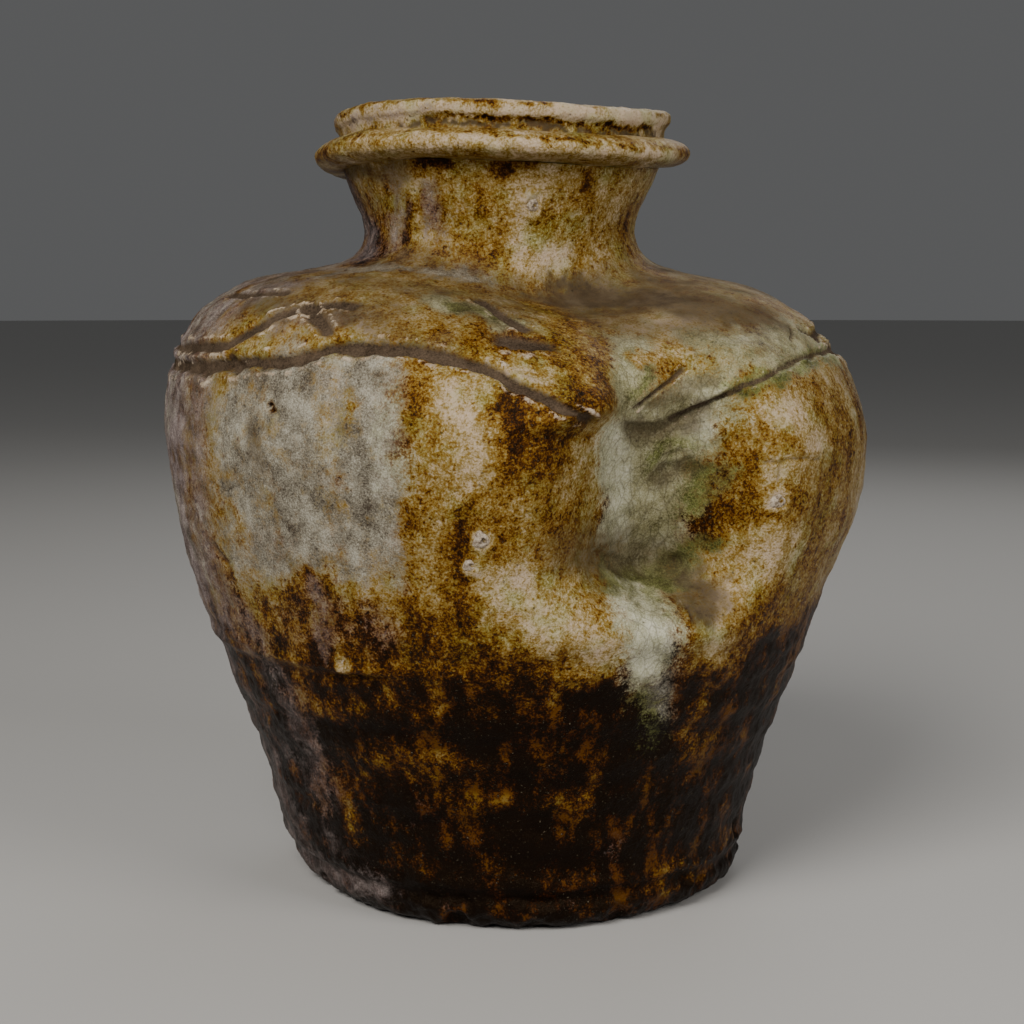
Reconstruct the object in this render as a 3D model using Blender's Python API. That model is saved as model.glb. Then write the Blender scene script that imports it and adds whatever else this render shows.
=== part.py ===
"""Coil-built stoneware jar with a deep dent pressed into its front.

Metres, +Z up. The origin is the centre of the underside. The front, with the dent to the right of its middle, faces
-Y. A bearing is an angle round the jar, counted from the front towards +X.
"""

import math

import bmesh
import bpy
from mathutils import Matrix, Vector

# Heights, each counted from the top of the one before
SLAB_THICKNESS = 0.0140
FOOT_COURSE_RISE = 0.0310
LOWER_WALL_RISE = 0.0417
LOWER_BELLY_RISE = 0.0653
UPPER_BELLY_RISE = 0.0430
SHOULDER_RISE = 0.0180
NECK_ROOT_RISE = 0.0090
NECK_RISE = 0.0210
COLLAR_HEIGHT = 0.0100
LIP_HEIGHT = 0.0090

# Outer radii at those heights
CONTACT_RADIUS = 0.0715
FOOT_RADIUS = 0.0800
FOOT_COURSE_RADIUS = 0.0880
LEDGE_RADIUS = 0.1030
BELLY_RADIUS = 0.1192
BEND_RADIUS = 0.1015
NECK_ROOT_RADIUS = 0.0505
NECK_WAIST_RADIUS = 0.0475
NECK_TOP_RADIUS = 0.0544
COLLAR_OVERHANG = 0.0098
LIP_OVERHANG = 0.0031

# Walls
FOOT_WALL = 0.0110
BODY_WALL = 0.0080
NECK_WALL = 0.0060
JOINT_GAP = 0.0003
JOINT_ROUND = 0.0012

# The dent, pressed in while the clay was soft
DENT_DEPTH = 0.0290
DENT_BEARING = math.radians(27)
DENT_SPREAD_LEFT = math.radians(18)
DENT_SPREAD_RIGHT = math.radians(12.5)
DENT_DROP = 0.0120
DENT_REACH_UP = 0.0460
DENT_REACH_DOWN = 0.0310
POCKET_DEPTH = 0.0070
POCKET_BEARING = math.radians(30)
POCKET_SPREAD = math.radians(10)
POCKET_RISE = 0.0290
POCKET_REACH = 0.0110
APRON_BULGE = 0.0040
APRON_BEARING = math.radians(20)
APRON_SPREAD = math.radians(22)
APRON_RISE = 0.0160
APRON_REACH = 0.0120
CHEEK_BULGE = 0.0025
CHEEK_BEARING = math.radians(-4)
CHEEK_SPREAD = math.radians(11)
CHEEK_REACH = 0.0300
BROW_BULGE = 0.0030
BROW_BEARING = math.radians(6)
BROW_SPREAD = math.radians(10)
BROW_DENT_SPREAD = math.radians(11)
BROW_RISE = 0.0080
BROW_HEIGHT = 0.0150

# How the soft jar settled and leaned
SHOULDER_SAG = 0.0115
SAG_BEARING = math.radians(22)
SAG_SPREAD = math.radians(34)
SHOULDER_TILT = math.radians(2.6)
NECK_LEAN = 0.0034
FLANK_SHIFT = 0.0030
FLANK_RISE = 0.0370
FLANK_REACH = 0.0150
OVAL = 0.0009
RIM_TILT = 0.0011
RIM_TWIST = 0.0018

# Feldspar stones: each one's node, bearing, height over the ledge, size and the sections that it sits in
STONE_GAP = 0.0003
STONE_PROBE_ANGLE = math.radians(1.5)
STONE_SINK_SHARE = 0.35
STONE_PIT_SHARE = 0.45
STONE_RADIUS = 0.0036
SMALL_STONE_RADIUS = 0.0030
NECK_STONE_RADIUS = 0.0032
NECK_STONE_RISE = 0.1428
UPPER_LEFT_STONE_RISE = 0.0440
LOWER_LEFT_STONE_RISE = 0.0360
LEDGE_STONE_RISE = 0.0025
RIGHT_STONE_RISE = 0.0510

# Mesh density
COLUMNS = 64
CROWDING_SHARE = 0.3
OUTLINE_STEPS = 24
STONE_SEGMENTS = 14
STONE_RINGS = 9

SLAB_TOP = SLAB_THICKNESS
FOOT_TOP = SLAB_TOP + FOOT_COURSE_RISE
LEDGE = FOOT_TOP + LOWER_WALL_RISE
WIDEST = LEDGE + LOWER_BELLY_RISE
BEND = WIDEST + UPPER_BELLY_RISE
NECK_ROOT = BEND + SHOULDER_RISE
NECK_WAIST = NECK_ROOT + NECK_ROOT_RISE
NECK_TOP = NECK_WAIST + NECK_RISE
COLLAR_TOP = NECK_TOP + COLLAR_HEIGHT

# Points between two stations, as shares of the way from one radius and height to the next
UPPER_BELLY_SHARES = ((0.19, 0.56), (0.60, 0.84))
SHOULDER_SHARES = ((0.32, 0.46), (0.80, 0.75))
SHOULDER_JOINT_SHARE = 0.62

# The slab's rounded edge, the collar and the lip, as shares of each one's overhang and height
SLAB_EDGE_SHARES = ((0.60, 0.16), (0.95, 0.46))
COLLAR_SHARES = (
    (0.15, 0.0), (0.66, 0.05), (0.93, 0.24), (1.0, 0.46), (0.94, 0.70), (0.74, 0.88), (0.40, 0.97), (0.10, 1.0)
)
LIP_SHARES = ((0.66, 0.0), (1.0, 0.30), (0.97, 0.66), (0.72, 0.93), (0.45, 1.0), (0.14, 0.86))


def between(low, high, share):
    """The value that lies this share of the way from low to high."""
    return low + (high - low) * share


def ease(low, high, value):
    """0 below low, 1 above high and a smooth rise between them."""
    t = min(max((value - low) / (high - low), 0.0), 1.0)
    return t * t * (3 - 2 * t)


def swell(offset, reach_below, reach_above, power=2.0):
    """1 at no offset, falling to about a third at each reach."""
    reach = reach_below if offset < 0 else reach_above
    return math.exp(-abs(offset / reach) ** power)


def turn_between(bearing, other):
    """The angle from other to bearing, within half a turn either way."""
    return (bearing - other + math.pi) % math.tau - math.pi


def dent_depth(bearing, height):
    """How far the wall is pushed inwards; it is negative where the wall bulges."""
    dent_height = WIDEST - DENT_DROP
    brow_foot = WIDEST + BROW_RISE
    over_brow = ease(brow_foot, brow_foot + BROW_HEIGHT, height)
    across = turn_between(bearing, DENT_BEARING)
    left = between(DENT_SPREAD_LEFT, BROW_DENT_SPREAD, over_brow)
    hollow = swell(across, left, DENT_SPREAD_RIGHT, 3.0)
    hollow *= swell(height - dent_height, DENT_REACH_DOWN, DENT_REACH_UP, 5.0 if height < dent_height else 2.4)
    across = turn_between(bearing, POCKET_BEARING)
    pocket = swell(across, POCKET_SPREAD, POCKET_SPREAD)
    pocket *= swell(height - LEDGE - POCKET_RISE, POCKET_REACH, POCKET_REACH)
    across = turn_between(bearing, APRON_BEARING)
    apron = swell(across, APRON_SPREAD, APRON_SPREAD)
    apron *= swell(height - LEDGE - APRON_RISE, APRON_REACH, APRON_REACH)
    across = turn_between(bearing, CHEEK_BEARING)
    cheek = swell(across, CHEEK_SPREAD, CHEEK_SPREAD) * swell(height - WIDEST, CHEEK_REACH, CHEEK_REACH)
    across = turn_between(bearing, BROW_BEARING)
    brow = swell(across, BROW_SPREAD, BROW_SPREAD)
    brow *= swell(height - brow_foot - BROW_HEIGHT, BROW_HEIGHT, BROW_HEIGHT)
    bulge = APRON_BULGE * apron + CHEEK_BULGE * cheek + BROW_BULGE * brow
    return DENT_DEPTH * hollow + POCKET_DEPTH * pocket - bulge


def settled(point):
    """Where a point of the true turned jar came to rest after the jar was dented and had sagged."""
    radius = math.hypot(point.x, point.y)
    height = point.z
    if radius == 0:
        return point.copy()
    bearing = math.atan2(point.x, -point.y)
    oval = math.cos(2 * bearing - 1) * ease(0, LEDGE, height)
    radius += OVAL * oval * radius / BELLY_RADIUS - dent_depth(bearing, height)
    upper = ease(LEDGE, BEND, height) * (1 - ease(NECK_ROOT, NECK_TOP, height))
    across = turn_between(bearing, SAG_BEARING)
    sag = SHOULDER_SAG * swell(across, SAG_SPREAD, SAG_SPREAD) * upper * ease(WIDEST, BEND, height)
    rim = ease(NECK_WAIST, NECK_TOP, height)
    warp = rim * (RIM_TILT * math.sin(bearing) - RIM_TWIST * math.sin(2 * bearing))
    x = radius * math.sin(bearing)
    height += warp - sag - x * math.tan(SHOULDER_TILT) * upper
    flank = FLANK_SHIFT * swell(point.z - LEDGE - FLANK_RISE, FLANK_REACH, FLANK_REACH)
    x += flank - NECK_LEAN * ease(WIDEST, NECK_ROOT, point.z)
    return Vector((x, -radius * math.cos(bearing), height))


def stations():
    """The outer outline's stations from the slab up to the top of the neck, as radius and height."""
    points = [(FOOT_RADIUS, SLAB_TOP), (FOOT_COURSE_RADIUS, FOOT_TOP), (LEDGE_RADIUS, LEDGE)]
    points.append((BELLY_RADIUS, WIDEST))
    for across, up in UPPER_BELLY_SHARES:
        points.append((between(BELLY_RADIUS, BEND_RADIUS, across), between(WIDEST, BEND, up)))
    points.append((BEND_RADIUS, BEND))
    for across, up in SHOULDER_SHARES:
        points.append((between(BEND_RADIUS, NECK_ROOT_RADIUS, across), between(BEND, NECK_ROOT, up)))
    points.append((NECK_ROOT_RADIUS, NECK_ROOT))
    points.append((NECK_WAIST_RADIUS, NECK_WAIST))
    points.append((NECK_TOP_RADIUS, NECK_TOP))
    return [Vector(point) for point in points]


def smooth_outline():
    """The outline as close points on a smooth curve through the stations."""
    knots = stations()
    knots = [2 * knots[0] - knots[1]] + knots + [2 * knots[-1] - knots[-2]]
    curve = []
    for before, start, end, after in zip(knots, knots[1:], knots[2:], knots[3:]):
        span = (end - start).length
        leave = (end - before) * span / (end - before).length
        arrive = (after - start) * span / (after - start).length
        for step in range(OUTLINE_STEPS):
            t = step / OUTLINE_STEPS
            pull = leave * (t**3 - 2 * t**2 + t) + arrive * (t**3 - t**2)
            curve.append(start * (2 * t**3 - 3 * t**2 + 1) + end * (3 * t**2 - 2 * t**3) + pull)
    return curve + [knots[-2]]


class Wall:
    """The turned wall, measured along its outer outline from the slab to the top of the neck."""

    def __init__(self):
        self.curve = smooth_outline()
        self.along = [0.0]
        for start, end in zip(self.curve, self.curve[1:]):
            self.along.append(self.along[-1] + (end - start).length)
        self.length = self.along[-1]

    def index(self, distance):
        for i, reached in enumerate(self.along[1:]):
            if distance < reached:
                return i
        return len(self.curve) - 2

    def outer(self, distance):
        i = self.index(distance)
        share = (distance - self.along[i]) / (self.along[i + 1] - self.along[i])
        return self.curve[i].lerp(self.curve[i + 1], share)

    def thickness(self, height):
        thick = between(FOOT_WALL, BODY_WALL, ease(SLAB_TOP, LEDGE, height))
        return between(thick, NECK_WALL, ease(BEND, NECK_WAIST, height))

    def inner(self, distance):
        """The point of the inner face behind this place, square to the wall except at the two level ends."""
        point = self.outer(distance)
        i = self.index(distance)
        along = (self.curve[min(i + 2, len(self.curve) - 1)] - self.curve[max(i - 1, 0)]).normalized()
        inwards = Vector((-along.y, along.x))
        level = max(1 - ease(0, FOOT_WALL, distance), ease(self.length - FOOT_WALL, self.length, distance))
        inwards = inwards.lerp(Vector((-1.0, 0.0)), level).normalized()
        return point + inwards * self.thickness(point.y)

    def at_height(self, height):
        """How far along the outline it first reaches this height."""
        for i, point in enumerate(self.curve[1:]):
            if point.y >= height:
                share = (height - self.curve[i].y) / (point.y - self.curve[i].y)
                return between(self.along[i], self.along[i + 1], share)
        return self.length

    def section(self, low, high, outer_count, inner_count):
        """The closed profile of the stretch from low to high, with its outer edges rounded off."""
        points = []
        low += JOINT_GAP / 2
        high -= JOINT_GAP / 2
        for i in range(outer_count + 1):
            place = between(low + JOINT_ROUND, high - JOINT_ROUND, i / outer_count)
            points.append(self.outer(place))
        for i in range(inner_count + 1):
            points.append(self.inner(between(high, low, i / inner_count)))
        edges = [self.outer(low).lerp(self.inner(low), JOINT_ROUND / FOOT_WALL)]
        edges.append(self.outer(high).lerp(self.inner(high), JOINT_ROUND / BODY_WALL))
        return [edges[0]] + points[: outer_count + 1] + [edges[1]] + points[outer_count + 1 :]


def fired_clay(name, colour, roughness):
    """A material of its own for each piece, in the colour that it has in the kiln-fired jar."""
    material = bpy.data.materials.new(name)
    material.use_nodes = True
    shader = material.node_tree.nodes["Principled BSDF"]
    shader.inputs["Base Color"].default_value = (*colour, 1)
    shader.inputs["Roughness"].default_value = roughness
    shader.inputs["Metallic"].default_value = 0
    material.diffuse_color = (*colour, 1)
    return material


def add_piece(name, bm, material, smooth=True):
    bm.normal_update()
    bmesh.ops.recalc_face_normals(bm, faces=bm.faces)
    mesh = bpy.data.meshes.new(name)
    bm.to_mesh(mesh)
    bm.free()
    if smooth:
        mesh.shade_smooth()
        mesh.set_sharp_from_angle(angle=math.radians(40))
    mesh.materials.append(material)
    piece = bpy.data.objects.new(name, mesh)
    bpy.context.scene.collection.objects.link(piece)
    return piece


def turned(name, profile, closed, material):
    """Turns a profile round the jar's axis, crowds its columns at the dent and lets it settle."""
    bm = bmesh.new()
    points = [bm.verts.new((point.x, 0, point.y)) for point in profile]
    edges = [bm.edges.new(pair) for pair in zip(points, points[1:])]
    if closed:
        edges.append(bm.edges.new((points[-1], points[0])))
    bmesh.ops.spin(
        bm, geom=points + edges, cent=(0, 0, 0), axis=(0, 0, 1), angle=math.tau, steps=COLUMNS, use_merge=True
    )
    bmesh.ops.remove_doubles(bm, verts=bm.verts, dist=JOINT_GAP / 30)
    for vert in bm.verts:
        radius = math.hypot(vert.co.x, vert.co.y)
        if radius < JOINT_GAP:
            continue
        bearing = math.atan2(vert.co.x, -vert.co.y)
        bearing -= CROWDING_SHARE * math.sin(turn_between(bearing, DENT_BEARING))
        placed = Vector((radius * math.sin(bearing), -radius * math.cos(bearing), vert.co.z))
        vert.co = settled(placed)
    return add_piece(name, bm, material)


def make_base_slab():
    overhang = FOOT_RADIUS - CONTACT_RADIUS
    top = SLAB_TOP - JOINT_GAP
    profile = [(0.0, 0.0), (CONTACT_RADIUS, 0.0)]
    for across, up in SLAB_EDGE_SHARES:
        profile.append((CONTACT_RADIUS + overhang * across, SLAB_TOP * up))
    profile.append((FOOT_RADIUS, top - JOINT_ROUND))
    profile.append((FOOT_RADIUS - JOINT_ROUND, top))
    profile.append((0.0, top))
    material = fired_clay("slab_clay", (0.085, 0.062, 0.045), 0.85)
    return turned("base_slab", [Vector(point) for point in profile], False, material)


def make_walls(wall):
    ledge = wall.at_height(LEDGE)
    shoulder = wall.at_height(between(WIDEST, BEND, SHOULDER_JOINT_SHARE))
    root = wall.at_height(NECK_ROOT)
    joints = [0.0, wall.at_height(FOOT_TOP), ledge, shoulder, root, wall.length]
    plans = (
        ("foot_course", 4, 2, (0.070, 0.050, 0.034), 0.70),
        ("lower_wall", 6, 3, (0.095, 0.060, 0.030), 0.50),
        ("belly_wall", 13, 8, (0.330, 0.290, 0.200), 0.45),
        ("shoulder", 9, 6, (0.210, 0.180, 0.125), 0.65),
        ("neck", 6, 4, (0.360, 0.290, 0.160), 0.50),
    )
    walls = {}
    for (name, outer_count, inner_count, colour, roughness), low, high in zip(plans, joints, joints[1:]):
        profile = wall.section(low, high, outer_count, inner_count)
        walls[name] = turned(name, profile, True, fired_clay(name + "_glaze", colour, roughness))
    return walls


def make_ring(name, shares, bottom, height, overhang, colour):
    """A rolled ring of clay: its inner face is straight and its outer face follows the shares."""
    bore = NECK_TOP_RADIUS - NECK_WALL
    outer_radius = NECK_TOP_RADIUS + overhang
    low = bottom + JOINT_GAP / 2
    high = bottom + height - JOINT_GAP / 2
    profile = [Vector((bore, between(low, high, shares[-1][1]))), Vector((bore, low))]
    for across, up in shares:
        profile.append(Vector((between(bore, outer_radius, across), between(low, high, up))))
    return turned(name, profile, True, fired_clay(name + "_glaze", colour, 0.5))


def surface_at(wall, bearing, height):
    """The settled outer surface at a bearing and a height of the turned jar: the place and its outward normal."""
    corners = []
    for turn, rise in ((0, 0), (STONE_PROBE_ANGLE, 0), (0, STONE_RADIUS)):
        point = wall.outer(wall.at_height(height + rise))
        angle = bearing + turn
        corners.append(settled(Vector((point.x * math.sin(angle), -point.x * math.cos(angle), point.y))))
    normal = (corners[1] - corners[0]).cross(corners[2] - corners[0]).normalized()
    return corners[0], normal


def stone_mesh(radius):
    """A round stone whose top has melted down into a pit. Its top is at +Z."""
    bm = bmesh.new()
    bmesh.ops.create_uvsphere(bm, u_segments=STONE_SEGMENTS, v_segments=STONE_RINGS, radius=radius)
    for vert in bm.verts:
        from_axis = math.hypot(vert.co.x, vert.co.y)
        pit = 1 - ease(0, radius * STONE_PIT_SHARE, from_axis)
        if vert.co.z > 0:
            vert.co.z -= radius * STONE_PIT_SHARE * pit
    return bm


def make_stones(wall, walls):
    plans = (
        ("feldspar_stone_1", 9.8, NECK_STONE_RISE, NECK_STONE_RADIUS, ("neck",)),
        ("feldspar_stone_2", -4.6, UPPER_LEFT_STONE_RISE, STONE_RADIUS, ("belly_wall",)),
        ("feldspar_stone_3", -6.3, LOWER_LEFT_STONE_RISE, SMALL_STONE_RADIUS, ("belly_wall",)),
        ("feldspar_stone_4", -31.1, LEDGE_STONE_RISE, SMALL_STONE_RADIUS, ("belly_wall", "lower_wall")),
        ("feldspar_stone_5", 45.2, RIGHT_STONE_RISE, STONE_RADIUS, ("belly_wall",)),
    )
    feldspar = fired_clay("feldspar", (0.55, 0.50, 0.43), 0.55)
    for name, degrees, rise, radius, carriers in plans:
        place, normal = surface_at(wall, math.radians(degrees), LEDGE + rise)
        seat = Matrix.Translation(place - normal * radius * STONE_SINK_SHARE)
        seat @= normal.to_track_quat("Z", "Y").to_matrix().to_4x4()
        stone = stone_mesh(radius)
        stone.transform(seat)
        add_piece(name, stone, feldspar.copy())
        hollow = bmesh.new()
        bmesh.ops.create_uvsphere(
            hollow, u_segments=STONE_SEGMENTS, v_segments=STONE_RINGS, radius=radius + STONE_GAP
        )
        hollow.transform(seat)
        cutter = add_piece(name + "_pocket", hollow, feldspar, smooth=False)
        cutter.hide_render = True
        cutter.display_type = "WIRE"
        for carrier in carriers:
            pocket = walls[carrier].modifiers.new(name + "_pocket", "BOOLEAN")
            pocket.operation = "DIFFERENCE"
            pocket.object = cutter


def main():
    for obj in list(bpy.data.objects):
        bpy.data.objects.remove(obj)
    wall = Wall()
    make_base_slab()
    walls = make_walls(wall)
    make_ring("collar", COLLAR_SHARES, NECK_TOP, COLLAR_HEIGHT, COLLAR_OVERHANG, (0.40, 0.34, 0.22))
    make_ring("lip", LIP_SHARES, COLLAR_TOP, LIP_HEIGHT, LIP_OVERHANG, (0.36, 0.29, 0.17))
    make_stones(wall, walls)


main()
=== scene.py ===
# %% [markdown]
# # A dented stoneware jar
#
# A potter coils this jar, dents it with a fist, cuts a few lines with a stick and fires it in a wood kiln
# for days. Wood ash and the feldspar in the clay melt into the glaze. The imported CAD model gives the
# pieces and their places. Each piece is rebuilt here as fine clay, with the marks of the hand, the stick
# and the fire.

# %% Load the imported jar
import math

import bmesh
import bpy
import numpy as np
from mathutils import Matrix, Vector, noise
from mathutils.bvhtree import BVHTree
from mathutils.geometry import barycentric_transform


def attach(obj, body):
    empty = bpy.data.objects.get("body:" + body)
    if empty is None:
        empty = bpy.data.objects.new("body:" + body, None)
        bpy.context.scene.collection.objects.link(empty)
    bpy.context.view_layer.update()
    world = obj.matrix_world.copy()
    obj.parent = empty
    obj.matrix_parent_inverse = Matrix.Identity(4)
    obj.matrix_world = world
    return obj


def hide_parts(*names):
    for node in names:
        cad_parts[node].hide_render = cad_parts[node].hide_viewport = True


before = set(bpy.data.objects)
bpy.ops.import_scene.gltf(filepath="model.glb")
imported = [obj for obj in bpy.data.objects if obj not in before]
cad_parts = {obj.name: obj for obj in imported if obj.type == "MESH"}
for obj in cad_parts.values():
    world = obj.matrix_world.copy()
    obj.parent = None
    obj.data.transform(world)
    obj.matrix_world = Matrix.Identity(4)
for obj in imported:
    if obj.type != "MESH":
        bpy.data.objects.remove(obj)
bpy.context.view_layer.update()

MM = 0.001
print(len(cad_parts), "nodes to stand for")

# %% [markdown]
# ## The camera
#
# The rings of the jar give the camera away: where it is level with a ring, the ring is a straight line.
# Those rings and the outline fit a long lens 0.66 m away, a little above the middle of the jar. It could
# be placed by eye, but a fitted camera lets every mark in the photograph be traced back to a place on the
# clay.

# %% Place the camera
FRAME_SIDE = 1024
FOCAL_PIXELS = 1908.8
EYE = Vector((0.0, -664.3 * MM, 203.0 * MM))
LOOK_DOWN = math.radians(6.674)

camera_data = bpy.data.cameras.new("camera")
camera_data.sensor_width = 36
camera_data.lens = camera_data.sensor_width * FOCAL_PIXELS / FRAME_SIDE
camera = bpy.data.objects.new("camera", camera_data)
camera.location = EYE
camera.rotation_euler = (math.pi / 2 - LOOK_DOWN, 0, 0)
bpy.context.scene.collection.objects.link(camera)
bpy.context.scene.camera = camera
print("lens", round(camera_data.lens, 1), "mm")

# %% [markdown]
# ## The jar's sizes
#
# Heights, radii and walls are those of the CAD model. A bearing is an angle round the jar, counted from
# the front towards the viewer's right, and along is the distance up the outer outline from the top of the
# foot slab. The shares place the stations between two named ones, so that they move with them.

# %% Heights, radii and walls
SLAB_TOP, FOOT_TOP, LEDGE, WIDEST, BEND = (mm * MM for mm in (14.0, 45.0, 86.7, 152.0, 195.0))
NECK_ROOT, NECK_WAIST, NECK_TOP = 213.0 * MM, 222.0 * MM, 243.0 * MM
COLLAR_TOP, LIP_TOP = 253.0 * MM, 262.0 * MM
CONTACT_RADIUS, FOOT_RADIUS, FOOT_COURSE_RADIUS = 71.5 * MM, 80.0 * MM, 88.0 * MM
LEDGE_RADIUS, BELLY_RADIUS, BEND_RADIUS = 103.0 * MM, 119.2 * MM, 101.5 * MM
NECK_ROOT_RADIUS, NECK_WAIST_RADIUS, NECK_TOP_RADIUS = 50.5 * MM, 47.5 * MM, 54.4 * MM
COLLAR_RADIUS, LIP_RADIUS = 64.2 * MM, 57.5 * MM
FOOT_WALL, BODY_WALL, NECK_WALL = 11.0 * MM, 8.0 * MM, 6.0 * MM
UPPER_BELLY_SHARES = ((0.19, 0.56), (0.60, 0.84))
SHOULDER_SHARES = ((0.32, 0.46), (0.80, 0.75))
SHOULDER_JOINT_SHARE = 0.62
print("true height", round(LIP_TOP / MM), "mm, widest", round(2 * BELLY_RADIUS / MM), "mm")

# %% [markdown]
# ## The fist and the kiln
#
# The jar is turned true first. Then a fist presses the dent into its front right, the shoulder sags
# behind it, the neck leans and the rim warps. One function moves any true place to where it came to rest,
# so all the pieces, inside and out, follow the same dent. It could be sculpted, but then neighbouring
# pieces would drift apart at their joints.

# %% Ease, swell and turn
def between(low, high, share):
    return low + (high - low) * share


def ease(low, high, value):
    """0 below low, 1 above high and a smooth rise from one to the other."""
    t = np.clip((value - low) / (high - low), 0, 1)
    return t * t * (3 - 2 * t)


def swell(offset, reach_below, reach_above, power=2.0):
    """A bell that is 1 at no offset, with its own reach on each side; a higher power flattens its top."""
    reach = np.where(offset < 0, reach_below, reach_above)
    return np.exp(-np.abs(offset / reach) ** power)


def turn_between(bearing, other):
    return (bearing - other + math.pi) % math.tau - math.pi


def hill(bearing, degrees, spread, height, middle, reach):
    """A round hill on the wall: its bearing and spread in degrees, its height and reach in metres."""
    across = turn_between(bearing, math.radians(degrees))
    spread = math.radians(spread)
    return swell(across, spread, spread) * swell(height - middle, reach, reach)


print("a swell at its own reach is", round(float(swell(1.0, 1.0, 1.0)), 2))


# %% Press the dent
DENT_DEPTH, DENT_BEARING = 29.0 * MM, math.radians(27)
DENT_LEFT, DENT_LEFT_OF_BROW, DENT_RIGHT = (math.radians(degrees) for degrees in (18, 11, 12.5))
DENT_MIDDLE, BROW_FOOT, BROW_HEIGHT = WIDEST - 12 * MM, WIDEST + 8 * MM, 15 * MM
DENT_BELOW, DENT_ABOVE = 31 * MM, 46 * MM
SIDE_STEEPNESS, BROW_STEEPNESS, FLOOR_STEEPNESS, ROOF_STEEPNESS = 3.0, 4.6, 5.0, 2.4
POCKET_DEPTH, APRON_RISE, CHEEK_RISE, BROW_RISE = 7 * MM, 4 * MM, 2.5 * MM, 3 * MM


def dent_depth(bearing, height):
    """How far the fist pressed the wall in; the clay that it pushed aside makes this less than nothing."""
    over_brow = ease(BROW_FOOT, BROW_FOOT + BROW_HEIGHT, height)
    left = between(DENT_LEFT, DENT_LEFT_OF_BROW, over_brow)
    across = turn_between(bearing, DENT_BEARING)
    left_steepness = between(SIDE_STEEPNESS, BROW_STEEPNESS, over_brow)
    hollow = swell(across, left, DENT_RIGHT, np.where(across < 0, left_steepness, SIDE_STEEPNESS))
    steepness = np.where(height < DENT_MIDDLE, FLOOR_STEEPNESS, ROOF_STEEPNESS)
    hollow = hollow * swell(height - DENT_MIDDLE, DENT_BELOW, DENT_ABOVE, steepness)
    pocket = hill(bearing, 30, 10, height, LEDGE + 29 * MM, 11 * MM)
    apron = hill(bearing, 20, 22, height, LEDGE + 16 * MM, 12 * MM)
    cheek = hill(bearing, -4, 11, height, WIDEST, 30 * MM)
    brow = hill(bearing, 6, 10, height, BROW_FOOT + BROW_HEIGHT, BROW_HEIGHT)
    pushed_out = APRON_RISE * apron + CHEEK_RISE * cheek + BROW_RISE * brow
    return DENT_DEPTH * hollow + POCKET_DEPTH * pocket - pushed_out


print("the dent is", round(float(dent_depth(DENT_BEARING, DENT_MIDDLE)) / MM, 1), "mm deep at its middle")


# %% [markdown]
# ## How the jar settled
#
# In the kiln the soft jar moved: it grew a little oval, its shoulder sagged over the dent, its neck
# leaned and its rim warped. Its foot is worn at the left, and its flanks bulge a little. These moves are
# small, so each is a height in millimetres times a smooth swell round the jar or up it, and their sum
# gives the outline of the photograph.

# %% Let the jar settle
SHOULDER_SAG, SHOULDER_TILT, NECK_LEAN = 11.5 * MM, math.radians(1.2), 3.4 * MM
SAG_BEARING, SAG_SPREAD = math.radians(22), math.radians(34)
OVAL, FOOT_WEAR, WEAR_BEARING = 0.9 * MM, 6.5 * MM, math.radians(-60)
RIM_WARP_ONCE, RIM_WARP_TWICE = 1.1 * MM, 1.8 * MM
RIGHT_BULGE, NECK_WASTE, LEFT_BULGE = 4.4 * MM, 2.2 * MM, 2.4 * MM


def settled(radius, height, bearing):
    """Where true places came to rest, as rows of x, y and z."""
    sine = np.sin(bearing)
    on_axis = radius < 0.1 * MM
    oval = np.cos(2 * bearing - 1) * ease(0, LEDGE, height)
    dented = radius + OVAL * oval * radius / BELLY_RADIUS - dent_depth(bearing, height)
    worn = swell(turn_between(bearing, WEAR_BEARING), math.radians(32), math.radians(28))
    dented -= FOOT_WEAR * worn * (1 - ease(2 * MM, 25 * MM, height)) * radius / FOOT_RADIUS
    dented = np.where(on_axis, radius, dented)
    x = dented * sine
    upper = ease(LEDGE, BEND, height) * (1 - ease(NECK_ROOT, NECK_TOP, height))
    sag = SHOULDER_SAG * swell(turn_between(bearing, SAG_BEARING), SAG_SPREAD, SAG_SPREAD)
    sag = sag * upper * ease(WIDEST, BEND, height)
    warp = RIM_WARP_ONCE * sine - RIM_WARP_TWICE * np.sin(2 * bearing)
    warp = warp * ease(NECK_WAIST, NECK_TOP, height)
    lift = MM * (1.6 + 0.6 * sine) * sine**2 * upper
    z = height + np.where(on_axis, 0, warp + lift - sag - x * math.tan(SHOULDER_TILT) * upper)
    right = RIGHT_BULGE * swell(height - 131 * MM, 22 * MM, 32 * MM)
    right = right - NECK_WASTE * swell(height - 226 * MM, 14 * MM, 12 * MM)
    right = right * np.clip(sine, 0, 1)
    left = LEFT_BULGE * swell(height - 108 * MM, 22 * MM, 28 * MM) * np.clip(-sine, 0, 1)
    x = x + np.where(on_axis, 0, right - left - NECK_LEAN * ease(WIDEST, NECK_ROOT, height))
    return np.stack([x, -dented * np.cos(bearing), z], axis=1)


rim = settled(np.full(4, LIP_RADIUS), np.full(4, LIP_TOP), np.arange(4) * math.tau / 4)
print("rim heights at the four sides", [round(float(place[2]) / MM, 1) for place in rim], "mm")


# %% [markdown]
# ## The outline
#
# A few stations carry the outline, and a smooth curve joins them, as a potter's rib would. The wall's
# inner face lies behind it at the wall's thickness. The slab below and the collar and lip above carry the
# outline on, so that one number, along, names any ring from the table up to the rim.

# %% Draw the smooth outline
OUTLINE_STEPS = 60


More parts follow.
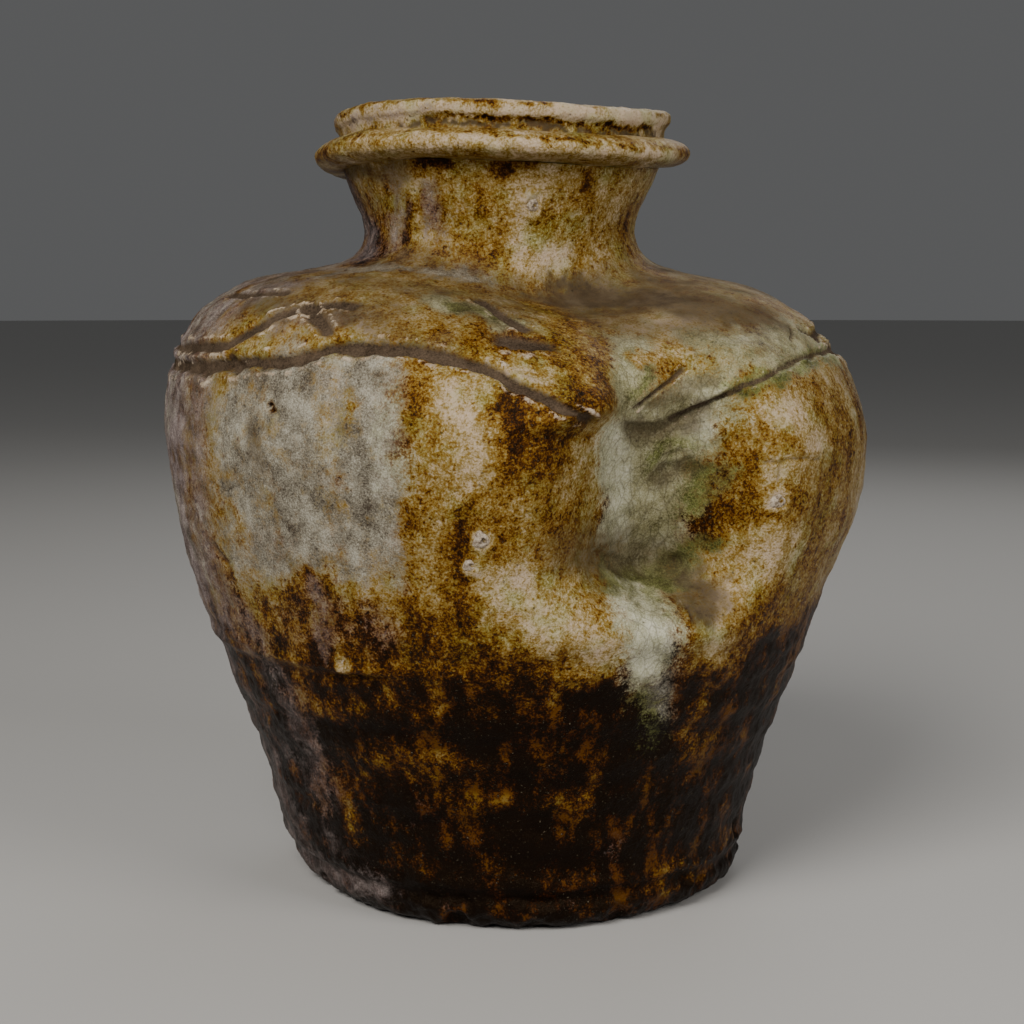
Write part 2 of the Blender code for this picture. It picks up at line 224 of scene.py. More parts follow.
def smooth_through(knots, steps):
    """Close points on a smooth curve through the knots."""
    knots = [Vector(knot) for knot in knots]
    knots = [2 * knots[0] - knots[1]] + knots + [2 * knots[-1] - knots[-2]]
    curve = []
    for before, start, end, after in zip(knots, knots[1:], knots[2:], knots[3:]):
        span = (end - start).length
        leave = (end - before) * span / (end - before).length
        arrive = (after - start) * span / (after - start).length
        for step in range(steps):
            t = step / steps
            pull = leave * (t**3 - 2 * t**2 + t) + arrive * (t**3 - t**2)
            curve.append(start * (2 * t**3 - 3 * t**2 + 1) + end * (3 * t**2 - 2 * t**3) + pull)
    return np.array([tuple(point) for point in curve + [knots[-2]]])


def lengths_along(curve, start=0.0):
    steps = np.hypot(*(curve[1:] - curve[:-1]).T)
    return start + np.concatenate([[0.0], np.cumsum(steps)])


stations = [(FOOT_RADIUS, SLAB_TOP), (FOOT_COURSE_RADIUS, FOOT_TOP)]
stations += [(LEDGE_RADIUS, LEDGE), (BELLY_RADIUS, WIDEST)]
for across, up in UPPER_BELLY_SHARES:
    stations.append((between(BELLY_RADIUS, BEND_RADIUS, across), between(WIDEST, BEND, up)))
stations.append((BEND_RADIUS, BEND))
for across, up in SHOULDER_SHARES:
    stations.append((between(BEND_RADIUS, NECK_ROOT_RADIUS, across), between(BEND, NECK_ROOT, up)))
stations += [(NECK_ROOT_RADIUS, NECK_ROOT), (NECK_WAIST_RADIUS, NECK_WAIST), (NECK_TOP_RADIUS, NECK_TOP)]
wall_curve = smooth_through(stations, OUTLINE_STEPS)
wall_along = lengths_along(wall_curve)
WALL_LENGTH = wall_along[-1]
print("outline", round(WALL_LENGTH / MM), "mm from the slab to the top of the neck")


# %% Find the outer and the inner face
def outer_face(along):
    radius = np.interp(along, wall_along, wall_curve[:, 0])
    return radius, np.interp(along, wall_along, wall_curve[:, 1])


def inner_face(along):
    """The place behind a ring, square to the wall but level at the two ends of the outline."""
    radius, height = outer_face(along)
    reach = 1.5 * MM
    radius_above, height_above = outer_face(along + reach)
    radius_below, height_below = outer_face(along - reach)
    inwards = np.stack([height_below - height_above, radius_above - radius_below], axis=1)
    inwards /= np.linalg.norm(inwards, axis=1)[:, None]
    at_the_foot = 1 - ease(0, FOOT_WALL, along)
    at_the_top = ease(WALL_LENGTH - FOOT_WALL, WALL_LENGTH, along)
    level = np.maximum(at_the_foot, at_the_top)[:, None]
    inwards = between(inwards, np.array([-1.0, 0.0]), level)
    inwards /= np.linalg.norm(inwards, axis=1)[:, None]
    thick = between(FOOT_WALL, BODY_WALL, ease(SLAB_TOP, LEDGE, height))
    thick = between(thick, NECK_WALL, ease(BEND, NECK_WAIST, height))
    return radius + inwards[:, 0] * thick, height + inwards[:, 1] * thick


def ring_at(height):
    """How far along the outline first reaches a height."""
    first = int(np.argmax(wall_curve[:, 1] >= height))
    return float(np.interp(height, wall_curve[first - 1 : first + 1, 1], wall_along[first - 1 : first + 1]))


print("the widest ring lies", round(ring_at(WIDEST) / MM), "mm along")

# %% [markdown]
# ## Turning a piece
#
# Every clay piece is turned the same way: its profile is a row of vertices that carry their true radius,
# height and place along the outline, a spin turns it, and loop cuts make the rings fine. The columns
# crowd towards the front, where the marks are. A dense grid could be listed by hand, but the spin closes
# its own seam.

# %% Turn a profile
COLUMNS = 64
COLUMN_CUTS = 11
CROWDING = 0.35
FULL_TURN = {"cent": (0, 0, 0), "axis": (0, 0, 1), "angle": math.tau, "use_merge": True}
TAGS = ("radius", "height", "along", "inside", "corner")
RADIUS_TAG, HEIGHT_TAG, CORNER_TAG = 0, 1, 4


def same_ring(edge, layers):
    start, end = edge.verts
    apart = abs(start[layers[RADIUS_TAG]] - end[layers[RADIUS_TAG]])
    return apart + abs(start[layers[HEIGHT_TAG]] - end[layers[HEIGHT_TAG]]) < 0.0001 * MM


def turned(name, profile, closed=True):
    """Turns rows of (radius, height, along, inside, corner) into a fine mesh that keeps these tags."""
    bm = bmesh.new()
    layers = [bm.verts.layers.float.new(tag) for tag in TAGS]
    points = []
    for row in profile:
        vert = bm.verts.new((row[0], 0, row[1]))
        for layer, value in zip(layers, row):
            vert[layer] = value
        points.append(vert)
    edges = [bm.edges.new(pair) for pair in zip(points, points[1:])]
    if closed:
        edges.append(bm.edges.new((points[-1], points[0])))
    bmesh.ops.spin(bm, geom=points + edges, steps=COLUMNS, **FULL_TURN)
    bmesh.ops.remove_doubles(bm, verts=bm.verts, dist=0.001 * MM)
    around = [edge for edge in bm.edges if same_ring(edge, layers)]
    bmesh.ops.subdivide_edges(bm, edges=around, cuts=COLUMN_CUTS)
    for edge in bm.edges:
        if edge.verts[0][layers[CORNER_TAG]] > 0.5 and same_ring(edge, layers):
            edge.smooth = False
    bm.normal_update()
    bmesh.ops.recalc_face_normals(bm, faces=bm.faces)
    mesh = bpy.data.meshes.new(name)
    bm.to_mesh(mesh)
    bm.free()
    return mesh


print(COLUMNS * (COLUMN_CUTS + 1), "columns round each piece")

# %% Read and write what a mesh keeps at its vertices
def read(mesh, name):
    values = np.zeros(len(mesh.vertices), np.float32)
    mesh.attributes[name].data.foreach_get("value", values)
    return values.astype(float)


def store(mesh, name, values):
    mesh.attributes.new(name, "FLOAT", "POINT").data.foreach_set("value", values.astype(np.float32))


def read_vectors(vertices, name):
    values = np.zeros(len(vertices) * 3, np.float32)
    vertices.foreach_get(name, values)
    return values.reshape(-1, 3).astype(float)


def move_to(mesh, places):
    mesh.vertices.foreach_set("co", places.astype(np.float32).ravel())
    mesh.update()


print("tags kept while a piece is shaped:", ", ".join(TAGS))


# %% [markdown]
# ## Profiles
#
# A profile is half of a cut through a piece, as a potter's template would be. The courses take theirs
# from the wall, outside and inside. The slab, the collar and the lip have rounded outlines of their own,
# given as shares of their width and height, so that they keep their shape when a size changes. They could
# be typed in as millimetres, but then every change of size would mean typing them again.

# %% Profiles of the eight clay pieces
joints = {"foot_course": 0.0, "lower_wall": ring_at(FOOT_TOP), "belly_wall": ring_at(LEDGE)}
joints["shoulder"] = ring_at(between(WIDEST, BEND, SHOULDER_JOINT_SHARE))
joints["neck"] = ring_at(NECK_ROOT)
joints["collar"] = WALL_LENGTH


def wall_profile(low, high, outer_rows, inner_rows):
    """The closed profile of a stretch of the wall: up its outer face and down its inner face."""
    up = np.linspace(low, high, outer_rows + 1)
    down = np.linspace(high, low, inner_rows + 1)
    rows = [(*ring, 0, i in (0, outer_rows)) for i, ring in enumerate(zip(*outer_face(up), up))]
    rows += [(*ring, 1, i in (0, inner_rows)) for i, ring in enumerate(zip(*inner_face(down), down))]
    return rows


print("the belly begins", round(joints["belly_wall"] / MM), "mm along")

# %% The rolled outlines of slab, collar and lip, as shares of their width and height
SLAB_SHARES = ((0.0, 0.0), (0.60, 0.16), (0.95, 0.46), (1.0, 0.75), (1.0, 1.0))
COLLAR_SHARES = (
    (0.15, 0.0), (0.66, 0.05), (0.93, 0.24), (1.0, 0.46),
    (0.94, 0.70), (0.74, 0.90), (0.48, 1.0), (0.1, 1.0),
)
LIP_SHARES = (
    (0.80, -0.14), (0.80, 0.18), (0.86, 0.36), (0.97, 0.52), (1.0, 0.68),
    (0.97, 0.86), (0.8, 0.97), (0.5, 1.0), (0.14, 0.9),
)
BORE = NECK_TOP_RADIUS - NECK_WALL
RING_STEPS = 6
BORE_STEPS = 8


def rounded(shares, low_radius, high_radius, low, high):
    """The smooth outer face of a rolled ring, from shares of its width and height."""
    knots = [(between(low_radius, high_radius, across), between(low, high, up)) for across, up in shares]
    return smooth_through(knots, RING_STEPS)


def ring_profile(curve, start):
    """A ring's closed profile: round its rolled outer face, then down its straight bore."""
    along = lengths_along(curve, start)
    low, high = curve[0, 1], curve[-1, 1]
    rows = [(*point, reached, 0, i == 0) for i, (point, reached) in enumerate(zip(curve, along))]
    for share in np.linspace(0, 1, BORE_STEPS + 1):
        rows.append((BORE, between(high, low, share), along[-1], 1, share in (0, 1)))
    return rows


slab_curve = rounded(SLAB_SHARES, CONTACT_RADIUS, FOOT_RADIUS, 0, SLAB_TOP)
collar_curve = rounded(COLLAR_SHARES, BORE, COLLAR_RADIUS, NECK_TOP, COLLAR_TOP)
lip_curve = rounded(LIP_SHARES, BORE, LIP_RADIUS, COLLAR_TOP, LIP_TOP)
slab_along = lengths_along(slab_curve, -lengths_along(slab_curve)[-1])
collar_along = lengths_along(collar_curve, WALL_LENGTH)
joints["lip"] = collar_along[-1]

# %% [markdown]
# ## From the photograph to the clay
#
# The strokes and cuts below are given by the pixels where the photograph shows them. A ray from the
# camera through a pixel meets a coarse copy of the settled jar, and the place that it hits is read back
# as a bearing and a distance along. From there on a mark belongs to the clay and looks right from any
# side.

# %% A coarse copy of the settled jar
PROBE_COLUMNS = 180
probe_curve = np.concatenate([slab_curve[:-1], wall_curve[::4], collar_curve[2:], lip_curve[2:]])
lip_along = lengths_along(lip_curve, joints["lip"])
probe_rings = np.concatenate([slab_along[:-1], wall_along[::4], collar_along[2:], lip_along[2:]])
probe = bmesh.new()
probe_along = probe.verts.layers.float.new("along")
probe_points = [probe.verts.new((radius, 0, height)) for radius, height in probe_curve]
for vert, reached in zip(probe_points, probe_rings):
    vert[probe_along] = reached
probe_edges = [probe.edges.new(pair) for pair in zip(probe_points, probe_points[1:])]
bmesh.ops.spin(probe, geom=probe_points + probe_edges, steps=PROBE_COLUMNS, **FULL_TURN)
bmesh.ops.triangulate(probe, faces=probe.faces)
probe.verts.ensure_lookup_table()
true = np.array([tuple(vert.co) for vert in probe.verts])
probe_bearing = np.arctan2(true[:, 0], -true[:, 1])
probe_places = settled(np.hypot(true[:, 0], true[:, 1]), true[:, 2], probe_bearing)
for vert, place in zip(probe.verts, probe_places):
    vert.co = place
probe.faces.ensure_lookup_table()
probe_tree = BVHTree.FromBMesh(probe)
print("the probe has", len(probe.faces), "triangles")

# %% Trace a pixel back to its place
JAR_MIDDLE = Vector((530, 510))
NUDGES = 60
camera_turn = camera.rotation_euler.to_matrix()


def spot(x, y):
    """The bearing and the distance along that a pixel shows; a pixel off the jar moves to its edge."""
    for nudge in range(NUDGES):
        pixel = Vector((x, y)).lerp(JAR_MIDDLE, nudge / NUDGES)
        ray = camera_turn @ Vector((pixel.x - FRAME_SIDE / 2, FRAME_SIDE / 2 - pixel.y, -FOCAL_PIXELS))
        hit, _, face, _ = probe_tree.ray_cast(EYE, ray.normalized())
        if hit is not None:
            break
    corners = probe.faces[face].verts
    homes = [Vector((probe_bearing[vert.index], vert[probe_along], 0)) for vert in corners]
    home = barycentric_transform(hit, *[vert.co for vert in corners], *homes)
    return home.x, home.y


print("the middle pixel shows bearing", round(math.degrees(spot(512, 512)[0])), "degrees")


# %% Measure from a line, and make repeatable lumps
def distance_to(line, bearing, along, radius):
    """How far each place is from a line on the clay, and from the nearer end of that line."""
    nearest = np.ones(len(bearing))
    reached = np.zeros(len(bearing))
    travelled = 0.0
    for (start, low), (end, high) in zip(line, line[1:] or line):
        across, up = turn_between(bearing, start) * radius, along - low
        line_across, line_up = turn_between(end, start) * radius, high - low
        length = np.hypot(line_across, line_up) + 1e-9
        share = np.clip((across * line_across + up * line_up) / length**2, 0, 1)
        away = np.hypot(across - share * line_across, up - share * line_up)
        reached = np.where(away < nearest, travelled + share * length, reached)
        nearest = np.minimum(nearest, away)
        travelled = travelled + length
    return nearest, np.minimum(reached, travelled - reached)


def lumps(places, size, octaves=3):
    """Repeatable noise from about -1 to 1, whose lumps have this size."""
    return np.array([noise.fractal(place, 1.0, 2.0, octaves) for place in (places / size).tolist()])


print("two lumps", [round(value, 2) for value in lumps(probe_places[:2], 10 * MM)])


# %% [markdown]
# ## Cuts, gouges and ridges
#
# A stick was drawn through the damp clay round the shoulder, and it threw up a burr on each side. Grit
# was dragged out here and there, the dent folded the wall into creases, and cracks opened in the kiln.
# Each is a line with a width, a depth (below zero it stands out as a ridge) and a burr, pressed into the
# real surface and not only painted.

# %% The cuts that the photograph shows: width, depth and burr in millimetres, then pixels
CUTS = (
    # The lines of the stick and the gouges of the brow
    (
        6.0, 1.90, 0.40, (172, 364), (206, 368), (233, 363), (284, 361), (340, 347), (373, 347),
        (418, 350), (449, 357), (489, 368), (523, 386), (556, 404), (594, 426),
    ),
    (5.5, 1.10, 0.40, (178, 349), (224, 346), (257, 328), (295, 310), (340, 302), (364, 306)),
    (4.2, 0.80, 0.30, (226, 295), (250, 295), (293, 292)),
    (5.2, 1.00, 0.35, (306, 299), (320, 320), (333, 339)),
    (8.5, 1.90, 0.30, (482, 335), (520, 341), (566, 346)),
    (6.0, 1.10, 0.20, (474, 297), (505, 316), (536, 334)),
    (2.8, 1.00, 0.50, (632, 411), (655, 392), (686, 366)),
    (3.0, 0.90, 0.25, (668, 424), (706, 404), (743, 384), (790, 362), (832, 348)),
    (2.3, 0.70, 0.20, (790, 326), (792, 341)),
    (2.9, 0.80, 0.25, (799, 330), (819, 339)),
    # Folds in the dent
    (6.0, 1.50, 0.00, (620, 428), (657, 429), (700, 410), (753, 385)),
    (5.5, 1.30, 0.00, (653, 473), (680, 468), (706, 459)),
    (8.0, 1.60, 0.00, (587, 556), (630, 570), (670, 569), (707, 560)),
    # Cracks and lost grit
    (1.8, 0.90, 0.25, (683, 600), (690, 612), (693, 625)),
    (1.2, 0.70, 0.00, (206, 482), (227, 491), (244, 482)),
    (3.4, 1.50, 0.20, (212, 540), (221, 556), (230, 569)),
    (2.4, 1.30, 0.00, (271, 405), (277, 415)),
    (2.9, 1.20, 0.10, (215, 314), (220, 314)),
    (5.5, 1.20, 0.20, (230, 358), (236, 366)),
    (1.3, 0.65, 0.00, (762, 462), (785, 460), (822, 457)),
    (1.0, 0.50, 0.00, (779, 464), (778, 486)),
    # Ridges and runs that stand out
    (1.8, -0.45, 0.00, (316, 589), (325, 640)),
    (1.2, -0.50, 0.00, (549, 441), (556, 475)),
    (9.0, -0.90, 0.00, (645, 450), (690, 440), (738, 424)),
    (3.0, -1.30, 0.00, (684, 358), (692, 356)),
    (2.2, -0.90, 0.00, (801, 361), (806, 362)),
    (3.5, -0.60, 0.00, (224, 630), (245, 640), (267, 652), (306, 662), (345, 668), (386, 670)),
    (2.6, 0.80, 0.00, (330, 676), (386, 679)),
    (7.0, -0.50, 0.00, (262, 713), (330, 735), (420, 748)),
    (7.0, -0.50, 0.00, (283, 780), (340, 800), (450, 815)),
)
print(len(CUTS), "lines at the front, the deepest", max(cut[1] for cut in CUTS), "mm")

# %% The same lines carried on round the back: bearings in degrees, heights in millimetres
CUTS_BEHIND = (
    (
        5.4, 1.20, 0.35, (73, 184.8), (95, 180.0), (135, 183.0), (180, 180.0), (222, 178.5), (262, 177.5),
        (287, 175.2),
    ),
    (5.0, 1.00, 0.35, (68, 189.0), (105, 190.0), (150, 186.5), (200, 191.0), (240, 186.0), (289, 180.0)),
    (3.4, 0.90, 0.30, (118, 191.5), (131, 184.0)),
    (3.4, 0.90, 0.30, (212, 192.0), (226, 185.5)),
    (1.6, 0.80, 0.00, (150, 120.0), (163, 117.5), (171, 121.0)),
    (3.1, 1.30, 0.10, (196, 148.0), (202, 141.0)),
    (2.2, 1.20, 0.00, (96, 133.0), (98, 130.0)),
    (2.2, 1.20, 0.00, (236, 96.0), (240, 94.0)),
)
cuts = [(width, depth, burr, [spot(*pixel) for pixel in pixels]) for width, depth, burr, *pixels in CUTS]
for width, depth, burr, *places in CUTS_BEHIND:
    line = [(turn_between(math.radians(degrees), 0.0), ring_at(height * MM)) for degrees, height in places]
    cuts.append((width, depth, burr, line))
print(len(cuts), "cuts, gouges and ridges with those behind")


# %% Press the cuts into the wall
BURR_AWAY, BURR_WIDTH = 1.25, 0.24
HAIR_CRACK_WIDTH = 2


def cut_wall(bearing, along, radius, places):
    """The depth that the cuts take away, and how much each place is cut clay darkened with painted shade,
    or burr.
    """
    sway, fray = lumps(places, 9 * MM), lumps(places[:, [2, 0, 1]], 2.2 * MM)
    depth_there = np.zeros(len(bearing))
    cut_clay_and_shade, burr_clay = depth_there.copy(), depth_there.copy()
    swayed = (bearing + 0.7 * MM * sway / radius, along + 0.9 * MM * sway)
    for width, depth, burr, line in cuts:
        away, from_end = distance_to(line, *swayed, radius)
        half = width * MM / 2 * (1 + 0.35 * sway + 0.22 * fray)
        taper = ease(0, 0.8 * width * MM, from_end) if len(line) > 2 else 1.0
        inside = (1 - ease(0.45, 1.05, away / half)) * taper
        crumbs = np.clip(0.45 + 2.0 * fray + 1.6 * sway, 0, 1.5)
        lip = np.exp(-(((away / half - BURR_AWAY) / BURR_WIDTH) ** 2)) * crumbs * taper
        depth_there += (depth * inside - burr * lip) * MM
        if depth > 0 and (burr > 0 or width < HAIR_CRACK_WIDTH):
            # The cut clay is painted darker inside each cut: partly the clay's own colour, partly painted
            # shade in the groove.
            cut_clay_and_shade = np.maximum(cut_clay_and_shade, inside * min(0.2 + width / 5, 1))
            burr_clay = np.maximum(burr_clay, lip * min(burr / 0.6, 0.8))
    return depth_there, cut_clay_and_shade, burr_clay


print("a burr's top stands", BURR_AWAY, "half widths away from the middle of its cut")


# %% [markdown]
# ## Where the stones swelled
#
# Five feldspar stones in the clay swelled in the fire, and each raised a little ring of clay and glaze
# round itself. The wall needs their places before it is shaped. Each is at most 4 mm from its CAD stone,
# where the photograph shows it.

# %% The feldspar stones: bearing in degrees, rise over the ledge and radius in millimetres
STONES = (
    ("feldspar_stone_1", 11.8, 145.8, 3.2),
    ("feldspar_stone_2", -4.3, 43.6, 3.6),
    ("feldspar_stone_3", -6.1, 36.0, 3.0),
    ("feldspar_stone_4", -29.2, 2.8, 3.0),
    ("feldspar_stone_5", 43.4, 52.0, 3.6),
)
stone_spots = []
for _, degrees, rise, size in STONES:
    stone_spots.append((math.radians(degrees), ring_at(LEDGE + rise * MM), size * MM))
print("stones", [round(along / MM) for _, along, _ in stone_spots], "mm along")

# %% [markdown]
# ## Coils, ledge and foot
#
# The coils show as soft bands on the lower wall. A ledge runs round the jar where the belly was set onto
# the lower wall, proud at the left and worn away at the right. The foot's joint is a rough ridge, and the
# slab's edge is chipped. All of it is one height over the smooth wall, added up from lumps, waves and
# swells, because a height can be worked out anywhere on the clay and follows the wall through the dent.

# %% Shape the bands, the ledge and the rough clay
COIL_PITCH = 13.5
CHIPS = ((618, 921), (742, 838), (330, 882), (700, 892), (455, 927))
CHIP_DEPTH, STONE_RING = 2.2 * MM, 0.5 * MM
chips = [spot(*pixel) for pixel in CHIPS]
chips += [(math.radians(degrees), -6 * MM) for degrees in (110, 165, 205, 250)]


def relief(bearing, along, radius, height, places):
    """How far the surface stands out from the smooth wall, the cut clay with its painted shade, and the
    burr clay.
    """
    broad, middling, fine = lumps(places, 24 * MM), lumps(places, 8 * MM), lumps(places, 2.6 * MM, 4)
    low = 1 - ease(LEDGE, LEDGE + 30 * MM, height)
    left = swell(turn_between(bearing, math.radians(-75)), math.radians(60), math.radians(38))
    rough = np.maximum(low, 0.8 * left)
    out = MM * (0.36 * broad + between(0.24, 0.40, rough) * middling + between(0.13, 0.24, rough) * fine)
    coil = np.sin((height / MM + 2.5 * broad) * math.tau / COIL_PITCH)
    out += MM * coil * (0.30 * low * ease(SLAB_TOP, FOOT_TOP, height) + 0.08)
    proud_left = swell(turn_between(bearing, math.radians(-40)), math.radians(60), math.radians(26))
    over = along - joints["belly_wall"] - 0.9 * MM * middling
    step = 1.05 * swell(over - 1.2 * MM, 1.6 * MM, 7 * MM) - 0.85 * swell(over + 2.6 * MM, 3 * MM, 1.8 * MM)
    out += MM * (0.30 + 0.70 * proud_left) * step
    foot = along - 1.6 * MM * middling
    ridge = 1.15 * swell(foot - 1.2 * MM, 2.0 * MM, 3.0 * MM)
    out += MM * (ridge - 0.7 * swell(foot + 3.0 * MM, 2.5 * MM, 1.8 * MM))
    out += MM * 0.75 * middling * (1 - ease(-2 * MM, 8 * MM, along))
    for chip in chips:
        away = distance_to([chip], bearing, along, radius)[0]
        out -= CHIP_DEPTH * (1 - ease(2.0 * MM, 5.5 * MM, away + 1.2 * MM * middling))
    for stone_bearing, stone_along, size in stone_spots:
        away = distance_to([(stone_bearing, stone_along)], bearing, along, radius)[0] - size
        out += STONE_RING * swell(away + 0.5 * MM, 0.9 * MM, 1.1 * MM) * (1 + 1.2 * fine)
    depth, cut_clay_and_shade, burr_clay = cut_wall(bearing, along, radius, places)
    return out - depth, cut_clay_and_shade, burr_clay


print(len(chips), "chips in the edge of the foot")

# %% [markdown]
# ## Ash, iron and feldspar
#
# One glaze covers the jar, but ash, iron and heat changed it from place to place. Each finish is a
# strength painted on the clay with brush strokes: iron runs from cream (0) through amber (0.5) to burnt
# black (1), ash is the pale grey green crust, green the glassy pool in the dent, milk its cloudy floor and
# also a painted highlight there and on the streak below, moss the deep green of its thick parts and also
# painted shade in its creases, matt the purple grey of the cool side, and dust the dry grey brown and also
# painted shade in the dent's folds. A picture could be wrapped round it instead, but strokes can be read,
# moved and repainted.

# %% [markdown]
# ## The pale panel, the rust and the cream
#
# Ash settled thick and dry on the belly left of the dent and made a pale panel with grey veils. Towards
# the dent it gives way to an olive column, a cream patch and a rusty flank. In each group the wide
# strokes come before the small ones, because a wide one laid last would bury the others.

# %% Strokes: the pale panel at the left of the belly
# Each row: finish, strength, half width in millimetres, then the pixels that the stroke runs through
STROKES = [
    ("iron", 0.28, 16, (235, 400), (245, 530)),
    ("iron", 0.28, 17, (335, 395), (335, 530)),
    ("ash", 0.88, 12, (240, 400), (240, 510)),
    ("ash", 0.90, 14, (295, 390), (300, 530)),
    ("ash", 0.95, 10, (366, 375), (373, 440), (364, 500), (372, 545)),
    ("ash", 0.76, 5, (398, 372), (408, 420), (397, 462), (404, 500)),
    ("ash", 0.66, 9, (240, 555), (330, 575), (390, 565)),
    ("iron", 0.42, 8, (290, 612), (410, 610)),
    ("matt", 0.62, 4, (225, 380), (300, 372), (340, 385)),
    ("matt", 0.50, 4, (330, 425), (355, 410)),
    ("matt", 0.55, 5, (285, 500), (330, 482), (385, 492)),
    ("matt", 0.58, 8, (255, 545), (330, 535), (400, 540)),
    ("dust", 0.55, 3, (250, 430), (262, 470)),
    ("milk", 0.40, 6, (385, 395), (392, 470)),
    ("iron", 0.80, 1.2, (272, 404), (276, 410)),
    ("iron", 0.66, 3, (310, 580), (325, 590)),
]
print(len(STROKES), "strokes so far")

# %% Strokes: the olive column, the cream patch and the rusty flank of the dent
STROKES += [
    ("iron", 0.44, 6, (430, 368), (428, 560)),
    ("iron", 0.12, 7, (466, 405), (472, 480)),
    ("iron", 0.22, 5, (455, 380), (498, 395)),
    ("iron", 0.65, 7, (512, 405), (520, 480)),
    ("iron", 0.60, 8, (540, 410), (548, 470)),
    ("iron", 0.20, 5, (500, 368), (545, 375)),
    ("iron", 0.56, 7, (562, 330), (585, 365), (590, 400)),
    ("iron", 0.60, 3.5, (588, 345), (597, 375), (598, 405)),
    ("iron", 0.66, 5, (583, 425), (568, 448)),
    ("iron", 0.34, 5, (582, 455), (585, 510)),
    ("iron", 0.55, 8, (500, 510), (560, 520)),
    ("iron", 0.68, 4, (470, 520), (455, 545), (462, 575)),
    ("iron", 0.66, 3, (410, 515), (414, 525)),
    ("iron", 0.48, 10, (520, 550), (570, 560)),
    ("dust", 0.40, 8, (560, 545), (600, 560)),
]
print(len(STROKES), "strokes so far")

# %% Strokes: the cream below the dent
STROKES += [
    ("iron", 0.20, 9, (515, 610), (560, 625), (605, 650)),
    ("iron", 0.22, 7, (500, 590), (530, 640)),
    ("iron", 0.45, 5, (575, 590), (600, 600)),
]
print(len(STROKES), "strokes so far")

# %% [markdown]
# ## The green pool in the dent
#
# Glaze ran into the dent and stood there as a green, glassy pool, milky where it is thick, and a milky
# streak ran out below it. The milk on the pool's floor and on the streak is also a painted highlight, and
# the dust brown of its folds is painted shade. The depth of the dent could say where the pool lies, but the
# pool spills over the dent's edge in some places and stops short of it in others. Strokes follow it better.

# %% Strokes: the milky streak that ran out of the dent, with a painted highlight on it
STROKES += [
    # The milk on the streak is partly cloudy glaze and partly a painted highlight where the streak faces
    # up.
    ("milk", 0.95, 9, (640, 620), (650, 638), (651, 652)),
    ("ash", 0.66, 8, (650, 682), (656, 712)),
    ("green", 0.42, 9, (648, 715), (662, 765)),
]
print(len(STROKES), "strokes so far")

# %% Strokes: the green pool, its milk and the painted shade of its folds
STROKES += [
    ("green", 0.95, 13, (630, 440), (630, 520)),
    ("green", 0.95, 12, (660, 425), (700, 400), (740, 392)),
    ("green", 0.95, 14, (680, 450), (672, 530)),
    ("green", 0.95, 9, (632, 560), (645, 585)),
    ("green", 0.85, 7, (720, 470), (706, 510)),
    ("green", 0.95, 8, (634, 345), (628, 400)),
    ("green", 0.75, 6, (745, 372), (800, 356), (828, 348)),
    ("green", 0.75, 8, (700, 340), (760, 340), (800, 332)),
    ("green", 0.95, 6, (438, 300), (478, 308), (505, 320)),
    # This milk is the pool's cloudy floor and also a painted highlight along the floor's left side.
    ("milk", 0.90, 7, (612, 430), (613, 480), (616, 525)),
    ("milk", 0.60, 6, (715, 400), (700, 425), (735, 410)),
    # Painted shade: these four dust strokes darken the dent's folds and its bottom crease where shade
    # falls.
    ("dust", 0.70, 5.5, (632, 430), (660, 430), (700, 412)),
    ("dust", 0.60, 3.5, (655, 475), (690, 468), (712, 462)),
    ("dust", 0.64, 8, (588, 556), (640, 562), (668, 556)),
    ("dust", 0.50, 4, (655, 402), (688, 390), (712, 382)),
    ("iron", 0.30, 3, (640, 362), (680, 352)),
]
print(len(STROKES), "strokes so far")

# %% [markdown]
# ## The right side and the burnt lower wall
#
# The right flank is amber with cream and yellow patches. Below the belly the embers burnt the glaze dark
# brown to black, with amber runs between, and the strokes and the ground darken it further towards the
# bottom as painted shade. Noise alone could mottle it, but it wouldn't put the darkest patches where the
# photograph shows them. So strokes place them, and noise only frays their edges.

# %% Strokes: amber, cream and yellow at the right, with a dusty scab
STROKES += [
    ("iron", 0.50, 7, (765, 385), (768, 430)),
    ("iron", 0.66, 9, (750, 460), (735, 525)),
    ("iron", 0.17, 7, (788, 410), (815, 435)),
    ("iron", 0.45, 7, (770, 445), (800, 500)),
    ("iron", 0.22, 4, (778, 470), (800, 475)),
    ("iron", 0.52, 9, (835, 400), (845, 500)),
    ("iron", 0.50, 8, (800, 500), (820, 540)),
    ("iron", 0.20, 10, (712, 600), (755, 570), (775, 550)),
    ("iron", 0.20, 7, (715, 640), (745, 610)),
    ("iron", 0.55, 7, (745, 625), (790, 590), (825, 550)),
    ("iron", 0.86, 8, (745, 675), (785, 650), (812, 615)),
    ("dust", 0.84, 5.5, (690, 580), (708, 592), (696, 612)),
]
print(len(STROKES), "strokes so far")

